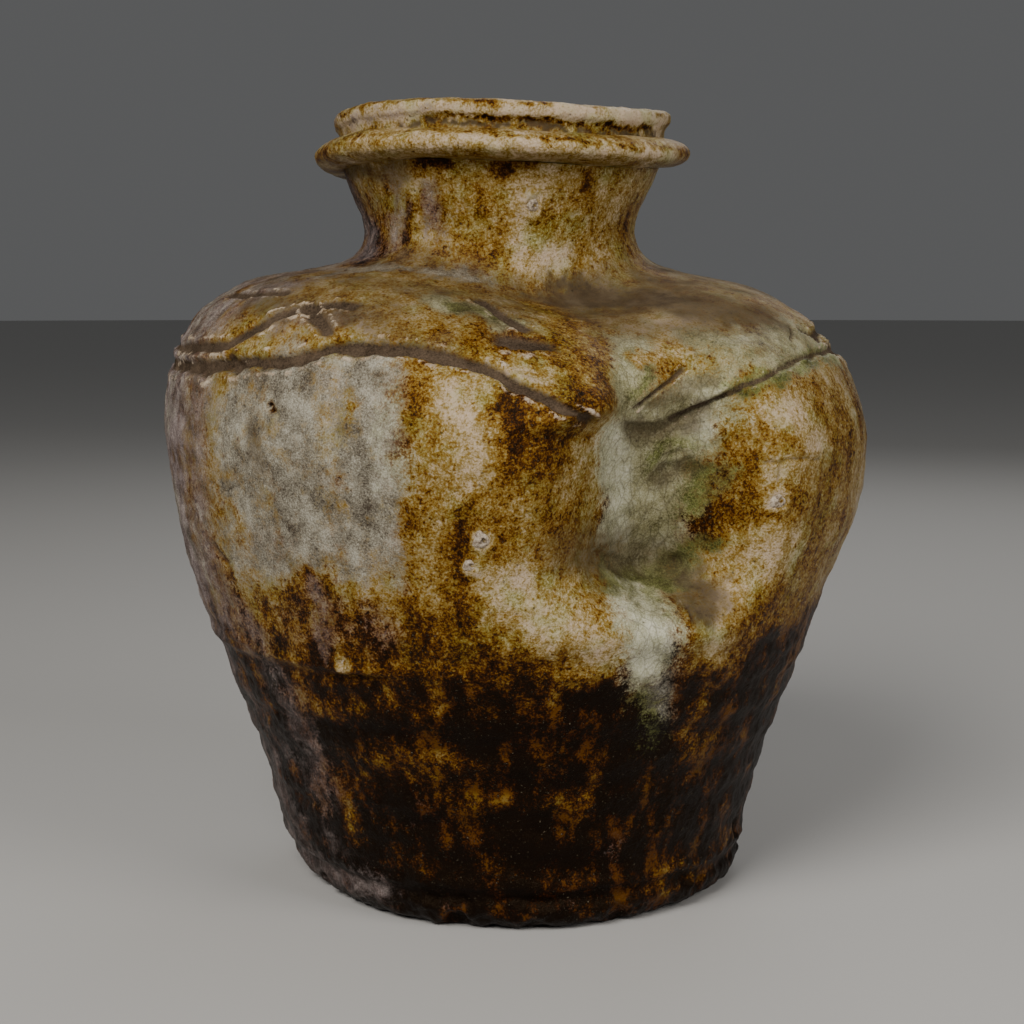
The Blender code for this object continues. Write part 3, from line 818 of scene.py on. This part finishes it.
# %% Strokes: the burnt lower wall, darkened further as painted shade
STROKES += [
    ("iron", 0.66, 9, (300, 615), (400, 638), (450, 632)),
    ("iron", 0.66, 9, (240, 660), (300, 670), (400, 672)),
    ("iron", 0.92, 9, (440, 715), (520, 722), (580, 730)),
    ("iron", 0.88, 7, (300, 742), (380, 738), (450, 742)),
    ("iron", 0.70, 7, (262, 700), (340, 703), (430, 702)),
    ("iron", 0.62, 9, (430, 662), (500, 668), (560, 690)),
    ("iron", 1.00, 7, (590, 702), (612, 706)),
    ("iron", 0.90, 12, (480, 740), (600, 760)),
    ("iron", 0.70, 7, (385, 762), (470, 765)),
    ("iron", 0.76, 7, (450, 800), (560, 805)),
    ("iron", 0.62, 4, (592, 780), (585, 812)),
    ("iron", 0.86, 11, (640, 745), (660, 860)),
    ("iron", 0.70, 8, (700, 690), (690, 760)),
    ("iron", 0.80, 10, (730, 720), (720, 830)),
    ("iron", 0.84, 12, (400, 850), (560, 868)),
    ("iron", 0.66, 5, (640, 885), (700, 870), (730, 830)),
    ("iron", 0.74, 7, (300, 790), (360, 770)),
    ("iron", 0.60, 4, (350, 802), (354, 839)),
]
print(len(STROKES), "strokes so far")

# %% [markdown]
# ## The cool side, the shoulder and the neck
#
# The left edge stayed cool in the kiln and is purple grey. The shoulder is dry and dusty, and the neck is
# cream and amber with brown and grey runs at its left. The dark left edge could be left to the light
# alone, but it is a colour of the glaze and stays on the clay when the jar is turned.

# %% Strokes: the cool left edge and foot
STROKES += [
    ("matt", 0.95, 13, (172, 375), (171, 480), (184, 560)),
    ("matt", 0.62, 9, (200, 400), (198, 520), (215, 580)),
    ("matt", 0.40, 9, (250, 640), (290, 700), (320, 780)),
    ("matt", 0.26, 9, (290, 615), (380, 625)),
    ("matt", 0.55, 5, (300, 845), (330, 870), (380, 890)),
    ("matt", 0.42, 3, (318, 590), (325, 650)),
]
print(len(STROKES), "strokes so far")

# %% Strokes: the dusty shoulder and the neck
STROKES += [
    ("dust", 0.95, 10, (575, 300), (640, 300), (700, 305)),
    ("dust", 0.80, 8, (700, 310), (770, 318)),
    ("dust", 0.58, 7, (612, 322), (650, 330), (690, 328)),
    ("dust", 0.45, 5, (350, 272), (420, 275), (480, 285)),
    ("ash", 0.80, 5, (320, 276), (350, 270), (420, 270), (480, 280)),
    ("dust", 0.65, 7, (260, 300), (375, 318)),
    ("dust", 0.45, 6, (380, 338), (440, 345)),
    ("matt", 0.75, 7, (185, 340), (225, 305), (290, 285)),
    ("matt", 0.50, 6, (270, 325), (350, 315)),
    ("iron", 0.50, 5, (545, 310), (585, 345)),
    ("iron", 0.72, 9, (346, 178), (362, 215), (372, 255)),
    ("matt", 0.50, 9, (346, 178), (362, 215), (366, 255)),
    ("iron", 0.47, 6, (500, 230), (570, 248)),
    ("iron", 0.45, 5, (590, 175), (604, 215)),
    ("iron", 0.72, 1.8, (408, 200), (404, 245)),
    ("iron", 0.42, 8, (622, 180), (630, 240)),
    ("dust", 0.60, 4, (345, 172), (400, 168)),
    ("matt", 0.52, 5, (392, 178), (396, 240)),
    ("matt", 0.50, 4, (432, 190), (438, 240)),
    ("iron", 0.20, 5, (530, 256), (560, 262)),
    ("iron", 0.70, 3, (590, 180), (592, 200)),
    ("iron", 0.72, 2.5, (415, 165), (445, 162)),
    ("iron", 0.72, 2.5, (500, 164), (530, 163)),
    ("iron", 0.43, 6, (610, 180), (640, 230)),
]
print(len(STROKES), "strokes so far")

# %% [markdown]
# ## The lip, the collar and the thick green
#
# The rims are cream, with a thin amber line at each edge and dust in the groove between them. The
# collar's left end is darker as painted shade, and the lip's right end lighter as painted light. Where the
# pool in the dent is thick, its green is deep, and in the dent's creases this deep green is also painted
# shade. These are the finest strokes. They could be lines of their own in the mesh, but as strokes they
# melt into the glaze round them.

# %% Strokes: the lip and the collar, with painted shade and painted light at their ends
STROKES += [
    ("iron", 0.12, 2.6, (345, 150), (460, 142), (600, 150), (675, 156)),
    # Painted shade: the collar's left end is painted a darker amber than the rest of the collar.
    ("iron", 0.34, 2.2, (345, 150), (420, 144)),
    ("iron", 0.12, 2.2, (340, 124), (420, 108), (520, 111), (600, 116), (666, 121)),
    ("iron", 0.55, 0.7, (333, 121), (357, 107), (424, 99), (520, 104), (585, 106), (668, 114)),
    ("dust", 0.85, 1.3, (336, 134), (400, 126), (478, 122), (560, 128), (654, 134)),
    ("iron", 0.84, 0.9, (438, 114), (500, 117), (560, 122), (650, 128)),
    ("iron", 0.03, 2.0, (350, 122), (390, 115), (430, 112)),
    ("matt", 0.50, 2.0, (350, 122), (390, 115), (430, 112)),
    # The lip's right end is a paler cream: partly its glaze, partly painted light.
    ("iron", 0.03, 2.0, (560, 110), (600, 114), (655, 118)),
    (
        "iron", 0.52, 0.8, (338, 142), (378, 134), (419, 129), (461, 131), (518, 137), (585, 141),
        (638, 149), (673, 147),
    ),
    ("iron", 0.56, 2.0, (316, 158), (326, 150)),
    ("iron", 0.56, 2.0, (678, 148), (686, 152)),
]
print(len(STROKES), "strokes so far")

# %% Strokes: deep green where the pool is thick, and painted shade in the dent's creases
STROKES += [
    ("moss", 0.85, 3.5, (452, 303), (478, 309), (500, 316)),
    # The next six strokes lie along the dent's creases, folds and notch: their deep green is partly pooled
    # glaze, partly painted shade.
    ("moss", 1.00, 5, (612, 580), (640, 582), (668, 572)),
    ("moss", 0.72, 4, (668, 566), (700, 548)),
    ("moss", 0.68, 4.5, (655, 455), (690, 430)),
    ("moss", 0.68, 4.5, (690, 510), (706, 470)),
    ("moss", 0.68, 3.5, (735, 388), (790, 366), (828, 350)),
    ("moss", 0.68, 2.5, (636, 395), (650, 372)),
    ("moss", 0.45, 5, (640, 690), (655, 735)),
]
print(len(STROKES), "strokes so far")

# %% Bring every stroke onto the clay
strokes = []
for finish, value, half, *pixels in STROKES:
    strokes.append((finish, value, half, [spot(*pixel) for pixel in pixels]))
probe.free()
print(len(strokes), "strokes of glaze")

# %% [markdown]
# ## Brushing
#
# Before any stroke, broad noise lays a ground: iron burnt dark low down, and darker still towards the
# bottom as painted shade, amber on the neck, ash and purple grey on the sides that the photograph doesn't
# show, and dust on the shoulder. Then the strokes go on in order, each with a frayed edge. A stroke of iron
# wipes the other finishes away, as a knife through wet glaze would, and the others lie over it.

# %% The ground below the strokes
FINISHES = ("iron", "ash", "green", "moss", "milk", "matt", "dust")
WIPED_BY_IRON = FINISHES[1:]


def ground(bearing, along, height, low, broad, middling):
    """The strength of each finish before any stroke."""
    coat = {finish: np.zeros(len(bearing)) for finish in FINISHES}
    front = swell(turn_between(bearing, math.radians(5)), math.radians(75), math.radians(75), 4.0)
    cool = swell(turn_between(bearing, math.radians(-85)), math.radians(45), math.radians(36))
    neck = ease(NECK_ROOT, NECK_WAIST, height)
    cool = cool * (1 - neck)
    # Low down the iron runs to burnt black: burnt glaze, and painted shade that darkens the wall towards
    # the bottom.
    coat["iron"] = between(0.42 + 0.22 * broad, 0.98 + 0.2 * middling, low)
    coat["iron"] = between(coat["iron"], 0.38 + 0.14 * middling, neck)
    coat["iron"] = between(coat["iron"], 0.60, 0.7 * cool * (1 - low))
    coat["ash"] = (1 - front) * (1 - low) * ease(-0.1, 0.5, broad + 0.3) * 0.75 * (1 - neck)
    patches = ease(0.0, 0.5, 0.35 * middling - 0.4 * broad + 0.15)
    coat["matt"] = (1 - front) * patches * between(0.7, 0.4, low)
    coat["matt"] = np.maximum(coat["matt"], cool * between(0.86, 0.44, low) + 0.2 * middling)
    dusty = ease(joints["shoulder"] + 12 * MM, joints["shoulder"] + 45 * MM, along) * (1 - neck)
    coat["dust"] = dusty * (0.55 + 0.3 * middling)
    return coat


print("finishes:", ", ".join(FINISHES))

# %% Brush the strokes on
THIN_STROKE = 1.5
SOFT_EDGE = (0.15, 1.85)


def brush(bearing, along, radius, height, places):
    """The strength of each finish at each place of the outer face."""
    broad, middling, fine = lumps(places, 30 * MM), lumps(places, 10 * MM), lumps(places, 3 * MM)
    # low rises to 1 towards the foot; the iron darkens with it as burnt glaze and as painted shade.
    low = 1 - ease(58 * MM, 118 * MM, height + 16 * MM * broad)
    coat = ground(bearing, along, height, low, broad, middling)
    turned_places = places[:, [1, 2, 0]]
    sideways = (3.0 * MM * middling + 1.8 * MM * fine) / radius
    upwards = 4.5 * MM * lumps(turned_places, 10 * MM) + 2.4 * MM * lumps(turned_places, 3 * MM)
    for finish, value, half, line in strokes:
        free = min(0.1 + half / 5, 1)
        swayed = (bearing + sideways * free, along + upwards * free)
        there = 1 - ease(*SOFT_EDGE, distance_to(line, *swayed, radius)[0] / (half * MM))
        if half < THIN_STROKE:
            there = there * np.clip(0.8 + 1.8 * fine, 0, 1)
        if finish == "iron":
            for other in WIPED_BY_IRON:
                coat[other] = coat[other] * (1 - there)
        coat[finish] = between(coat[finish], value, there)
    # Low down the iron is pushed darker still, with the coil bands in it: burnt glaze and painted shade
    # towards the bottom.
    bands = 0.05 * np.cos(height / MM * math.tau / COIL_PITCH + 2.0 * broad)
    coat["iron"] += low * (bands + 0.06 * middling + 0.06)
    swayed = (bearing + sideways * 0.3, along + upwards * 0.3)
    for stone_bearing, stone_along, size in stone_spots:
        away = distance_to([(stone_bearing, stone_along)], *swayed, radius)[0] - size
        coat["iron"] = between(coat["iron"], 0.12, 0.6 * swell(away + 0.6 * MM, 3 * MM, 0.7 * MM))
    worn = np.clip(0.98 + 0.45 * middling + 0.35 * fine, 0, 1.1)
    for finish in ("ash", "matt"):
        coat[finish] = coat[finish] * worn
    return coat


print("fine lumps break the strokes that are less than", 2 * THIN_STROKE, "mm wide")

# %% [markdown]
# ## The glaze material
#
# One recipe makes every clay piece's finish. Fine and coarse noise decide, grain by grain, which finish
# wins where two strengths meet, so the borders are ragged as melted ash is. Iron runs through a ramp of
# fired colours. Each finish has its own roughness, and a bump gives the crust its grain.

# %% A short way to write nodes
def add_node(tree, kind, settings=None, sockets=None):
    """A new node, whose sockets take either a link from another node's socket or a plain value."""
    made = tree.nodes.new("ShaderNode" + kind)
    for name, value in (settings or {}).items():
        setattr(made, name, value)
    for name, value in (sockets or {}).items():
        if isinstance(value, bpy.types.NodeSocket):
            tree.links.new(value, made.inputs[name])
        else:
            made.inputs[name].default_value = value
    return made


def maths(tree, operation, *values, clamp=False):
    settings = {"operation": operation, "use_clamp": clamp}
    return add_node(tree, "Math", settings, dict(enumerate(values))).outputs[0]


def grain(tree, place, size, detail=4, rough=0.6):
    """Noise whose grains have this size in metres."""
    sockets = {"Vector": place, "Scale": 1 / size, "Detail": detail, "Roughness": rough}
    return add_node(tree, "TexNoise", None, sockets).outputs["Fac"]


def cells(tree, place, size, feature="F1"):
    """The distance to the middle (or to the edge) of cells of this size, as a share of the size."""
    made = add_node(tree, "TexVoronoi", {"feature": feature}, {"Vector": place, "Scale": 1 / size})
    return made.outputs["Distance"]


# %% Ramps, mixes and a fresh material
def ramp(tree, factor, stops):
    made = add_node(tree, "ValToRGB", None, {"Fac": factor})
    while len(made.color_ramp.elements) < len(stops):
        made.color_ramp.elements.new(0.5)
    for element, (position, colour) in zip(made.color_ramp.elements, stops):
        element.position = position
        element.color = (*colour, 1)
    return made.outputs["Color"]


def mixed(tree, factor, first, second, colour=True, blend="MIX"):
    settings = {"data_type": "RGBA" if colour else "FLOAT", "blend_type": blend}
    names = (6, 7) if colour else (2, 3)
    made = add_node(tree, "Mix", settings, {0: factor, names[0]: first, names[1]: second})
    return made.outputs[2 if colour else 0]


def new_material(name):
    """A material, its node tree and shader, and the place on the object that its patterns read."""
    material = bpy.data.materials.new(name)
    material.use_nodes = True
    tree = material.node_tree
    return material, tree, tree.nodes["Principled BSDF"], add_node(tree, "TexCoord").outputs["Object"]


def strength_of(tree, name):
    return add_node(tree, "Attribute", {"attribute_name": name}).outputs["Fac"]


def link_surface(tree, shader, colour, height, strength, distance):
    """Leads a colour and a bump of this height to the shader."""
    tree.links.new(colour, shader.inputs["Base Color"])
    bump = add_node(tree, "Bump", None, {"Strength": strength, "Distance": distance, "Height": height})
    tree.links.new(bump.outputs["Normal"], shader.inputs["Normal"])


print("nodes can be written in one line each")

# %% [markdown]
# ## Iron, coats and crust
#
# Iron in the glaze fires from cream through amber and rust to black. One ramp holds these colours, and
# noise moves each grain a little up or down the ramp. Every other finish is a coat over the iron with
# colours and a roughness of its own, and it shows where its strength beats the mottle. Eight separate
# materials could do it, but they would meet in clean lines, and melted ash has none.

# %% The fired colours of iron
IRON_STOPS = (
    (0.00, (0.53, 0.41, 0.29)),
    (0.18, (0.41, 0.305, 0.18)),
    (0.33, (0.270, 0.198, 0.070)),
    (0.47, (0.220, 0.124, 0.013)),
    (0.61, (0.125, 0.043, 0.003)),
    (0.74, (0.034, 0.009, 0.001)),
    (0.90, (0.006, 0.0020, 0.0006)),
)
BURNT_TINT, GREEN_TINT = (0.50, 0.38, 0.30, 1), (0.80, 1.0, 0.72, 1)
# The pale glint colour is a painted highlight; the pit colour is the colour of pinholes.
PAINTED_GLINT_COLOUR, PIT_COLOUR = (0.38, 0.31, 0.20, 1), (0.03, 0.022, 0.012, 1)
DARKEST_FLOOR = 0.58


def iron_colour(tree, place, cloud, speck, mottle, iron):
    """The iron glaze: its mottled and flecked strength picks a fired colour, with fine glints painted over
    it as painted highlights.
    """
    fleck = maths(tree, "MULTIPLY_ADD", grain(tree, place, 1.6 * MM, 3, 0.6), 7.0, -4.1, clamp=True)
    tone = maths(tree, "MULTIPLY_ADD", fleck, 0.26, maths(tree, "ADD", iron, mottle))
    burnt = maths(tree, "MULTIPLY_ADD", iron, 2.5, -1.5, clamp=True)
    streaks = maths(tree, "MULTIPLY_ADD", cloud, 2.0, -0.98)
    tone = maths(tree, "MULTIPLY_ADD", streaks, burnt, tone)
    tone = maths(tree, "MAXIMUM", tone, maths(tree, "MINIMUM", burnt, DARKEST_FLOOR))
    colour = mixed(tree, burnt, ramp(tree, tone, IRON_STOPS), BURNT_TINT, blend="MULTIPLY")
    hue = maths(tree, "MULTIPLY_ADD", grain(tree, place, 13 * MM, 4), 3.6, -1.75, clamp=True)
    colour = mixed(tree, hue, colour, GREEN_TINT, blend="MULTIPLY")
    # Painted highlights: the brightest specks are mixed towards the pale glint colour, standing for
    # sparkles of light.
    painted_glint = maths(tree, "MULTIPLY_ADD", speck, 12.0, -7.9, clamp=True)
    return mixed(tree, maths(tree, "MULTIPLY", painted_glint, 0.5), colour, PAINTED_GLINT_COLOUR)


print(len(IRON_STOPS), "fired colours of iron")

# %% The finishes over the iron: colours from dark to light, roughness, and how ragged their edges are
COATS = {
    "matt": (
        ((0.1, (0.045, 0.028, 0.022)), (0.5, (0.18, 0.139, 0.130)), (0.9, (0.39, 0.33, 0.305))),
        0.65, 1.3,
    ),
    "ash": (
        ((0.1, (0.055, 0.042, 0.030)), (0.5, (0.225, 0.202, 0.152)), (0.9, (0.45, 0.425, 0.345))),
        0.60, 1.5,
    ),
    "green": (
        ((0.05, (0.09, 0.082, 0.03)), (0.5, (0.27, 0.25, 0.135)), (0.95, (0.45, 0.435, 0.29))),
        0.30, 1.8,
    ),
    # moss: the deep green of thick glaze, also used as painted shade in the dent's creases.
    "moss": (
        ((0.1, (0.035, 0.036, 0.008)), (0.5, (0.125, 0.135, 0.036)), (0.9, (0.27, 0.28, 0.11))),
        0.30, 1.8,
    ),
    # milk: cloudy glaze, also used as a painted highlight on the dent's floor and streak.
    "milk": (
        ((0.1, (0.22, 0.21, 0.12)), (0.5, (0.42, 0.41, 0.28)), (0.9, (0.60, 0.58, 0.45))),
        0.35, 1.8,
    ),
    # dust: the dry grey brown dust, also used as painted shade in the dent's folds.
    "dust": (
        ((0.1, (0.040, 0.027, 0.015)), (0.5, (0.066, 0.046, 0.026)), (0.9, (0.105, 0.077, 0.046))),
        0.85, 0.4,
    ),
    # cut: the colour of the cut clay, darkened further as painted shade inside the grooves and cracks.
    "cut": (((0.1, (0.025, 0.017, 0.011)), (0.9, (0.115, 0.080, 0.052))), 0.90, 1.0),
    "burr": (((0.1, (0.28, 0.20, 0.12)), (0.9, (0.60, 0.50, 0.38))), 0.60, 2.2),
}
IRON_ROUGHNESS = 0.36


def lay_coats(tree, place, speck, mottle, strength, colour):
    """Lays each finish over the colour below it where its strength beats the mottle."""
    veil = maths(tree, "MULTIPLY_ADD", grain(tree, place, 8 * MM, 5, 0.62), 1.7, -0.35)
    own = maths(tree, "MULTIPLY_ADD", grain(tree, place, 0.55 * MM, 4, 0.75), 1.8, -1.25)
    own = maths(tree, "ADD", veil, maths(tree, "MULTIPLY_ADD", speck, 0.7, own))
    roughness = IRON_ROUGHNESS
    for finish, (stops, own_roughness, ragged) in COATS.items():
        edge = maths(tree, "MULTIPLY_ADD", strength[finish], 1 + 0.45 * ragged, -0.25 * ragged)
        edge = maths(tree, "MULTIPLY_ADD", mottle, -ragged, edge)
        edge = maths(tree, "MINIMUM", maths(tree, "MULTIPLY", strength[finish], 4.0), edge, clamp=True)
        colour = mixed(tree, edge, colour, ramp(tree, veil if finish == "dust" else own, stops))
        roughness = mixed(tree, edge, roughness, own_roughness, colour=False)
    return colour, roughness


print(len(COATS), "finishes over the iron")


# %% Mix the ash glaze
def ash_glaze(name):
    material, tree, shader, place = new_material(name)
    strength = {finish: strength_of(tree, finish) for finish in ("iron", *COATS)}
    runs = add_node(tree, "Mapping", None, {"Vector": place, "Scale": (1, 1, 0.5)}).outputs["Vector"]
    cloud = grain(tree, runs, 9 * MM, 5, 0.6)
    patch = grain(tree, place, 2.3 * MM, 6, 0.72)
    speck = grain(tree, place, 0.75 * MM, 3, 0.7)
    mottle = maths(tree, "MULTIPLY_ADD", cloud, 1.0, -1.65)
    mottle = maths(tree, "MULTIPLY_ADD", patch, 1.1, mottle)
    mottle = maths(tree, "MULTIPLY_ADD", speck, 1.2, mottle)
    colour = iron_colour(tree, place, cloud, speck, mottle, strength["iron"])
    colour, roughness = lay_coats(tree, place, speck, mottle, strength, colour)
    glassy = maths(tree, "MAXIMUM", strength["green"], strength["milk"])
    pit = maths(tree, "MULTIPLY_ADD", cells(tree, place, 4.5 * MM), -9.0, 1.0, clamp=True)
    crackle = cells(tree, runs, 3.0 * MM, "DISTANCE_TO_EDGE")
    crackle = maths(tree, "MULTIPLY_ADD", crackle, -10.0, 0.8, clamp=True)
    crackle = maths(tree, "MULTIPLY", crackle, maths(tree, "MULTIPLY", glassy, 0.7))
    dark = maths(tree, "MULTIPLY", maths(tree, "MAXIMUM", pit, crackle), 0.8)
    colour = mixed(tree, dark, colour, PIT_COLOUR)
    crust = maths(tree, "MULTIPLY_ADD", speck, 0.6, maths(tree, "MULTIPLY", patch, 0.8))
    smooth = maths(tree, "MAXIMUM", glassy, strength["dust"])
    crust = maths(tree, "MULTIPLY", crust, maths(tree, "MULTIPLY_ADD", smooth, -0.7, 1.0))
    crust = maths(tree, "MULTIPLY_ADD", pit, -0.5, crust)
    link_surface(tree, shader, colour, crust, 0.8, 0.8 * MM)
    tree.links.new(roughness, shader.inputs["Roughness"])
    shader.inputs["Specular IOR Level"].default_value = 0.13
    shader.inputs["Specular Tint"].default_value = (1.0, 0.72, 0.45, 1)
    return material


print("a glaze reads", 1 + len(COATS), "strengths at the vertices")

# %% [markdown]
# ## Building the eight clay pieces
#
# Each piece is turned, settled, pushed out along its own normals by the relief and brushed with the
# finishes. The normals of the wall are worked out from the settled surface itself, so two neighbours
# agree where they meet and the joint doesn't show as a step. The slab, collar and lip stand off the
# wall's outline and use their mesh's own normals. The inner faces stay smooth and carry a plain brown,
# dusty glaze.

# %% The direction that the wall faces
def wall_normals(bearing, along):
    reach = 0.8 * MM

    def at(turn_by, move_by):
        return settled(*outer_face(along + move_by), bearing + turn_by)

    angle = reach / BELLY_RADIUS
    across = at(angle, 0) - at(-angle, 0)
    up = at(0, reach) - at(0, -reach)
    normals = np.cross(across, up)
    return normals / np.linalg.norm(normals, axis=1)[:, None]


facing = wall_normals(np.array([0.0]), np.array([ring_at(WIDEST)]))[0]
print("the widest place at the front faces", [round(float(part), 2) for part in facing])

# %% Shape one piece
INSIDE_FINISH = {"iron": 0.66, "dust": 0.35}


def clay_piece(node, profile, slot, closed=True, own_normals=False):
    mesh = turned(node, profile, closed)
    radius, height, along, inside = (read(mesh, tag) for tag in TAGS[:4])
    true = read_vectors(mesh.vertices, "co")
    bearing = np.arctan2(true[:, 0], -true[:, 1])
    bearing -= CROWDING * np.sin(bearing)
    places = settled(radius, height, bearing)
    outer = inside < 0.5
    if own_normals:
        move_to(mesh, places)
        normals = read_vectors(mesh.vertex_normals, "vector")[outer]
    else:
        normals = wall_normals(bearing[outer], along[outer])
    ring = np.maximum(radius[outer], 1 * MM)
    where = (bearing[outer], along[outer], ring, height[outer], places[outer])
    out, cut_clay_and_shade, burr_clay = relief(*where)
    coat = {**brush(*where), "cut": cut_clay_and_shade, "burr": burr_clay}
    places[outer] += normals * out[:, None]
    places[:, 2] = np.maximum(places[:, 2], 0)
    move_to(mesh, places)
    for finish, on_the_outside in coat.items():
        values = np.full(len(places), INSIDE_FINISH.get(finish, 0.0))
        values[outer] = on_the_outside
        store(mesh, finish, values)
    for tag in TAGS:
        mesh.attributes.remove(mesh.attributes[tag])
    mesh.materials.append(ash_glaze(slot))
    mesh.shade_smooth()
    piece = bpy.data.objects.new(node + "_clay", mesh)
    bpy.context.scene.collection.objects.link(piece)
    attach(piece, "root")
    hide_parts(node)
    print(piece.name, len(mesh.polygons), "faces")


# %% [markdown]
# ## The slab and the courses
#
# The potter pats out a round slab, sets coils on it and joins them with wet, scored clay into courses.
# The slab is turned from its rolled edge, with a flat disc above and below. The courses are stretches of
# one wall, so a loop turns them all, each from one joint to the next. They could be cut out of one
# finished jar, but then the faces inside the joints would be missing.

# %% The slab that the jar stands on
slab_rows = [(0, 0, slab_along[0], 0, 0)]
for radius in np.linspace(0.2, 0.97, 6) * CONTACT_RADIUS:
    slab_rows.append((radius, 0, slab_along[0], 0, 0))
for row, (point, reached) in enumerate(zip(slab_curve, slab_along)):
    slab_rows.append((*point, reached, 0, row == len(slab_curve) - 1))
for radius in np.linspace(0.95, 0.1, 8) * FOOT_RADIUS:
    slab_rows.append((radius, SLAB_TOP, 0, 1, 0))
slab_rows.append((0, SLAB_TOP, 0, 1, 0))
clay_piece("base_slab", slab_rows, "slab_clay", closed=False, own_normals=True)

# %% The five courses of the wall: their rows outside and inside, and their slots
COURSES = {
    "foot_course": (38, 8, "foot_glaze"),
    "lower_wall": (50, 10, "lower_glaze"),
    "belly_wall": (104, 20, "belly_glaze"),
    "shoulder": (84, 14, "shoulder_glaze"),
    "neck": (44, 10, "neck_glaze"),
}
ends = list(joints.values())
for (node, (outer_rows, inner_rows, slot)), low, high in zip(COURSES.items(), ends, ends[1:]):
    clay_piece(node, wall_profile(low, high, outer_rows, inner_rows), slot)

# %% [markdown]
# ## The collar and the lip
#
# Two rolled coils end the jar. The collar stands out from the neck as a ring, and the lip sits back over
# the groove above it. Each is turned from its own rounded outline, round a straight bore. A torus could
# stand for them, but the rolls are flattened where they lie on each other.

# %% The collar and the lip
clay_piece("collar", ring_profile(collar_curve, WALL_LENGTH), "collar_glaze", own_normals=True)
clay_piece("lip", ring_profile(lip_curve, joints["lip"]), "lip_glaze", own_normals=True)

# %% [markdown]
# ## The feldspar stones
#
# Each white stone half melted and ended as a pitted dome in a ring of glaze. A sphere that is flattened,
# pushed in at its top and roughened by noise makes one. It could be a bump in the glaze, but a stone of
# its own catches the light and can be picked out by itself.

# %% The stone's finish
def feldspar():
    material, tree, shader, place = new_material("feldspar")
    fine = grain(tree, place, 0.9 * MM, 5, 0.7)
    stops = ((0.36, (0.10, 0.07, 0.045)), (0.48, (0.32, 0.25, 0.175)), (0.64, (0.54, 0.46, 0.36)))
    colour = mixed(tree, strength_of(tree, "hollow"), ramp(tree, fine, stops), (0.035, 0.022, 0.014, 1))
    link_surface(tree, shader, colour, fine, 0.6, 0.4 * MM)
    shader.inputs["Roughness"].default_value = 0.5
    return material


print("the hollow of a stone shows dark through its own attribute")

# %% Make the stones
SINK_SHARE, PIT_SHARE, FLATNESS = 0.52, 0.36, 0.74


def stone(node, degrees, rise, size):
    radius = size * MM
    bearing = np.array([math.radians(degrees)])
    along = np.array([ring_at(LEDGE + rise * MM)])
    normal = Vector(wall_normals(bearing, along)[0])
    middle = Vector(settled(*outer_face(along), bearing)[0]) - normal * size * MM * SINK_SHARE
    bm = bmesh.new()
    hollow = bm.verts.layers.float.new("hollow")
    bmesh.ops.create_icosphere(bm, subdivisions=5, radius=radius)
    for vert in bm.verts:
        from_axis = math.hypot(vert.co.x - 0.7 * MM, vert.co.y) / radius
        pit = 1 - float(ease(0.02, 0.34 + 0.30 * noise.noise(vert.co / (0.9 * MM)), from_axis))
        if vert.co.z > 0:
            vert.co.z = FLATNESS * vert.co.z - radius * PIT_SHARE * pit
            vert[hollow] = pit
        vert.co *= 1 + 0.16 * noise.noise(vert.co / (2.4 * MM)) + 0.05 * noise.noise(vert.co / (0.8 * MM))
    bm.transform(Matrix.Translation(middle) @ normal.to_track_quat("Z", "Y").to_matrix().to_4x4())
    mesh = bpy.data.meshes.new(node)
    bm.to_mesh(mesh)
    bm.free()
    mesh.shade_smooth()
    mesh.materials.append(feldspar())
    piece = bpy.data.objects.new(node + "_dome", mesh)
    bpy.context.scene.collection.objects.link(piece)
    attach(piece, "root")
    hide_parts(node)


for plan in STONES:
    stone(*plan)
print(len(STONES), "stones")

# %% [markdown]
# ## Floor and light
#
# A pale floor and a large soft light from the upper left, as in a studio, with a weaker one at the right
# to open the shadows and a faint one behind. The photograph was lit low, so the lights are kept low as
# well. Their watts were set by holding the render against the photograph, region by region.

# %% The floor
floor_bm = bmesh.new()
bmesh.ops.create_circle(floor_bm, cap_ends=True, segments=96, radius=12.0)
floor_mesh = bpy.data.meshes.new("floor")
floor_bm.to_mesh(floor_mesh)
floor_bm.free()
floor_paint = bpy.data.materials.new("floor")
floor_paint.use_nodes = True
floor_shader = floor_paint.node_tree.nodes["Principled BSDF"]
floor_shader.inputs["Base Color"].default_value = (0.50, 0.49, 0.47, 1)
floor_shader.inputs["Roughness"].default_value = 0.7
floor_mesh.materials.append(floor_paint)
floor = bpy.data.objects.new("floor", floor_mesh)
bpy.context.scene.collection.objects.link(floor)
print("floor", len(floor_mesh.polygons), "face")


# %% The lights and the world
def soft_light(name, place, size, watts, colour):
    data = bpy.data.lights.new(name, "AREA")
    data.size = size
    data.energy = watts
    data.color = colour
    light = bpy.data.objects.new(name, data)
    light.location = place
    aim = Vector((0, 0, WIDEST)) - light.location
    light.rotation_euler = aim.to_track_quat("-Z", "Y").to_euler()
    bpy.context.scene.collection.objects.link(light)
    print(name, watts, "W")


soft_light("window", (-0.52, -1.06, 1.02), 0.7, 20.5, (1.0, 0.97, 0.93))
soft_light("fill", (0.95, -0.80, 0.70), 0.7, 7.5, (1.0, 0.97, 0.94))
soft_light("back", (0.4, 1.1, 1.0), 0.8, 3, (1.0, 1.0, 1.0))
world = bpy.data.worlds.new("studio")
world.use_nodes = True
sky = world.node_tree.nodes["Background"]
sky.inputs["Color"].default_value = (0.80, 0.81, 0.82, 1)
sky.inputs["Strength"].default_value = 0.13
bpy.context.scene.world = world
